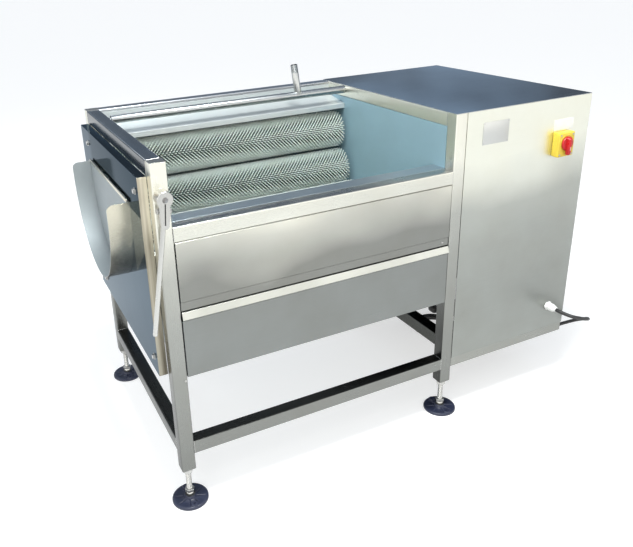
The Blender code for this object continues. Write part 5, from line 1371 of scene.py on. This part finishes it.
# Sky colours from the nadir at 0 over the horizon at 0.5 to the zenith at 1
BACK_SKY = (
    (0.50, (0.55, 0.60, 0.66)), (0.54, (0.26, 0.31, 0.37)), (0.59, (0.085, 0.105, 0.135)),
    (0.78, (0.15, 0.18, 0.23)), (0.88, (0.22, 0.26, 0.32)), (0.97, (0.55, 0.60, 0.66)),
)
FRONT_SKY = (
    (0.50, (2.50, 2.42, 2.25)), (0.60, (2.30, 2.26, 2.15)), (0.74, (0.95, 0.98, 1.02)),
    (1.00, (0.70, 0.75, 0.82)),
)
AWAY = (0.45, 0.89, 0.0)
AWAY_RANGE = (0, 1, -0.15, 0.30)
SKY_STREAKS = (2.6, (1.2, 1.2, 6.0), 3, 0.5)
STREAK_RANGE = (0, 0.80, 0.50, 0.66)
STREAK_COLOUR = (0.34, 0.48, 0.66)


def make_world():
    """Studio surroundings: a bright soft front and a dark slate backdrop with faint pale streaks."""
    world = bpy.data.worlds.new("studio")
    bpy.context.scene.world = world
    world.use_nodes = True
    sky = Nodes(world.node_tree, "Generated")
    height = sky.spread(sky.axes(sky.position)["Z"], 0, 1, -1, 1)
    streaks = sky.spread(sky.noise(*SKY_STREAKS), *STREAK_RANGE)
    back = sky.blend(streaks, sky.ramp(height, BACK_SKY), STREAK_COLOUR)
    away = sky.vectors("DOT_PRODUCT", sky.position, AWAY, "Value")
    away = sky.spread(away, *AWAY_RANGE, interpolation_type="SMOOTHSTEP")
    background = sky.tree.nodes["Background"].inputs["Color"]
    sky.put(background, sky.blend(away, sky.ramp(height, FRONT_SKY), back))


# Lamps: place, aim, size, power and colour
LAMPS = {
    "key": ((-2.6, -2.8, 3.9), (0, 0, 0.5), (2.6, 2.6), 48, (1.0, 0.99, 0.97)),
    "top": ((-0.3, -0.7, 3.1), (-0.2, 0.05, 0.8), (0.8, 0.5), 90, (0.97, 1.0, 0.98)),
    "rim": ((-1.4, 3.4, 3.2), (0, 0, 0.6), (2.6, 1.4), 30, (0.93, 0.97, 1.0)),
}


def make_lights():
    """A large soft key from the left front, a soft box over the trough and a rim from behind."""
    for name, (place, aim, size, power, colour) in LAMPS.items():
        data = bpy.data.lights.new(name, "AREA")
        data.shape = "RECTANGLE"
        data.size, data.size_y = size
        data.energy = power
        data.color = colour
        lamp = place_in_scene(name, data)
        lamp.location = place
        lamp.rotation_euler = (Vector(aim) - Vector(place)).to_track_quat("-Z", "Y").to_euler()


# The camera that the photograph was solved for, angles in degrees
CAMERA_PLACE = (-1.0397, -1.8332, 1.4207)
CAMERA_ANGLES = (68.234, 2.324, -25.369)
CAMERA_LENS = 38.338
CAMERA_SENSOR = 36
CAMERA_SHIFT = (0.0777, -0.0694)
CAMERA_REACH = 200


def make_camera():
    data = bpy.data.cameras.new("camera")
    camera = place_in_scene("camera", data)
    camera.location = CAMERA_PLACE
    camera.rotation_euler = Euler([radians(angle) for angle in CAMERA_ANGLES])
    data.lens = CAMERA_LENS
    data.sensor_width = CAMERA_SENSOR
    data.shift_x, data.shift_y = CAMERA_SHIFT
    data.clip_end = CAMERA_REACH
    bpy.context.scene.camera = camera


bpy.context.scene.view_settings.view_transform = "Standard"
make_camera()
make_cord()
dress_frame()
make_frame_tubes()
make_ferrules()
make_welds()
make_spout()
make_gate()
make_rollers()
make_spray_pipe()
make_feet()
make_switch()
make_plates()
make_bolts()
make_stage()
make_world()
make_lights()
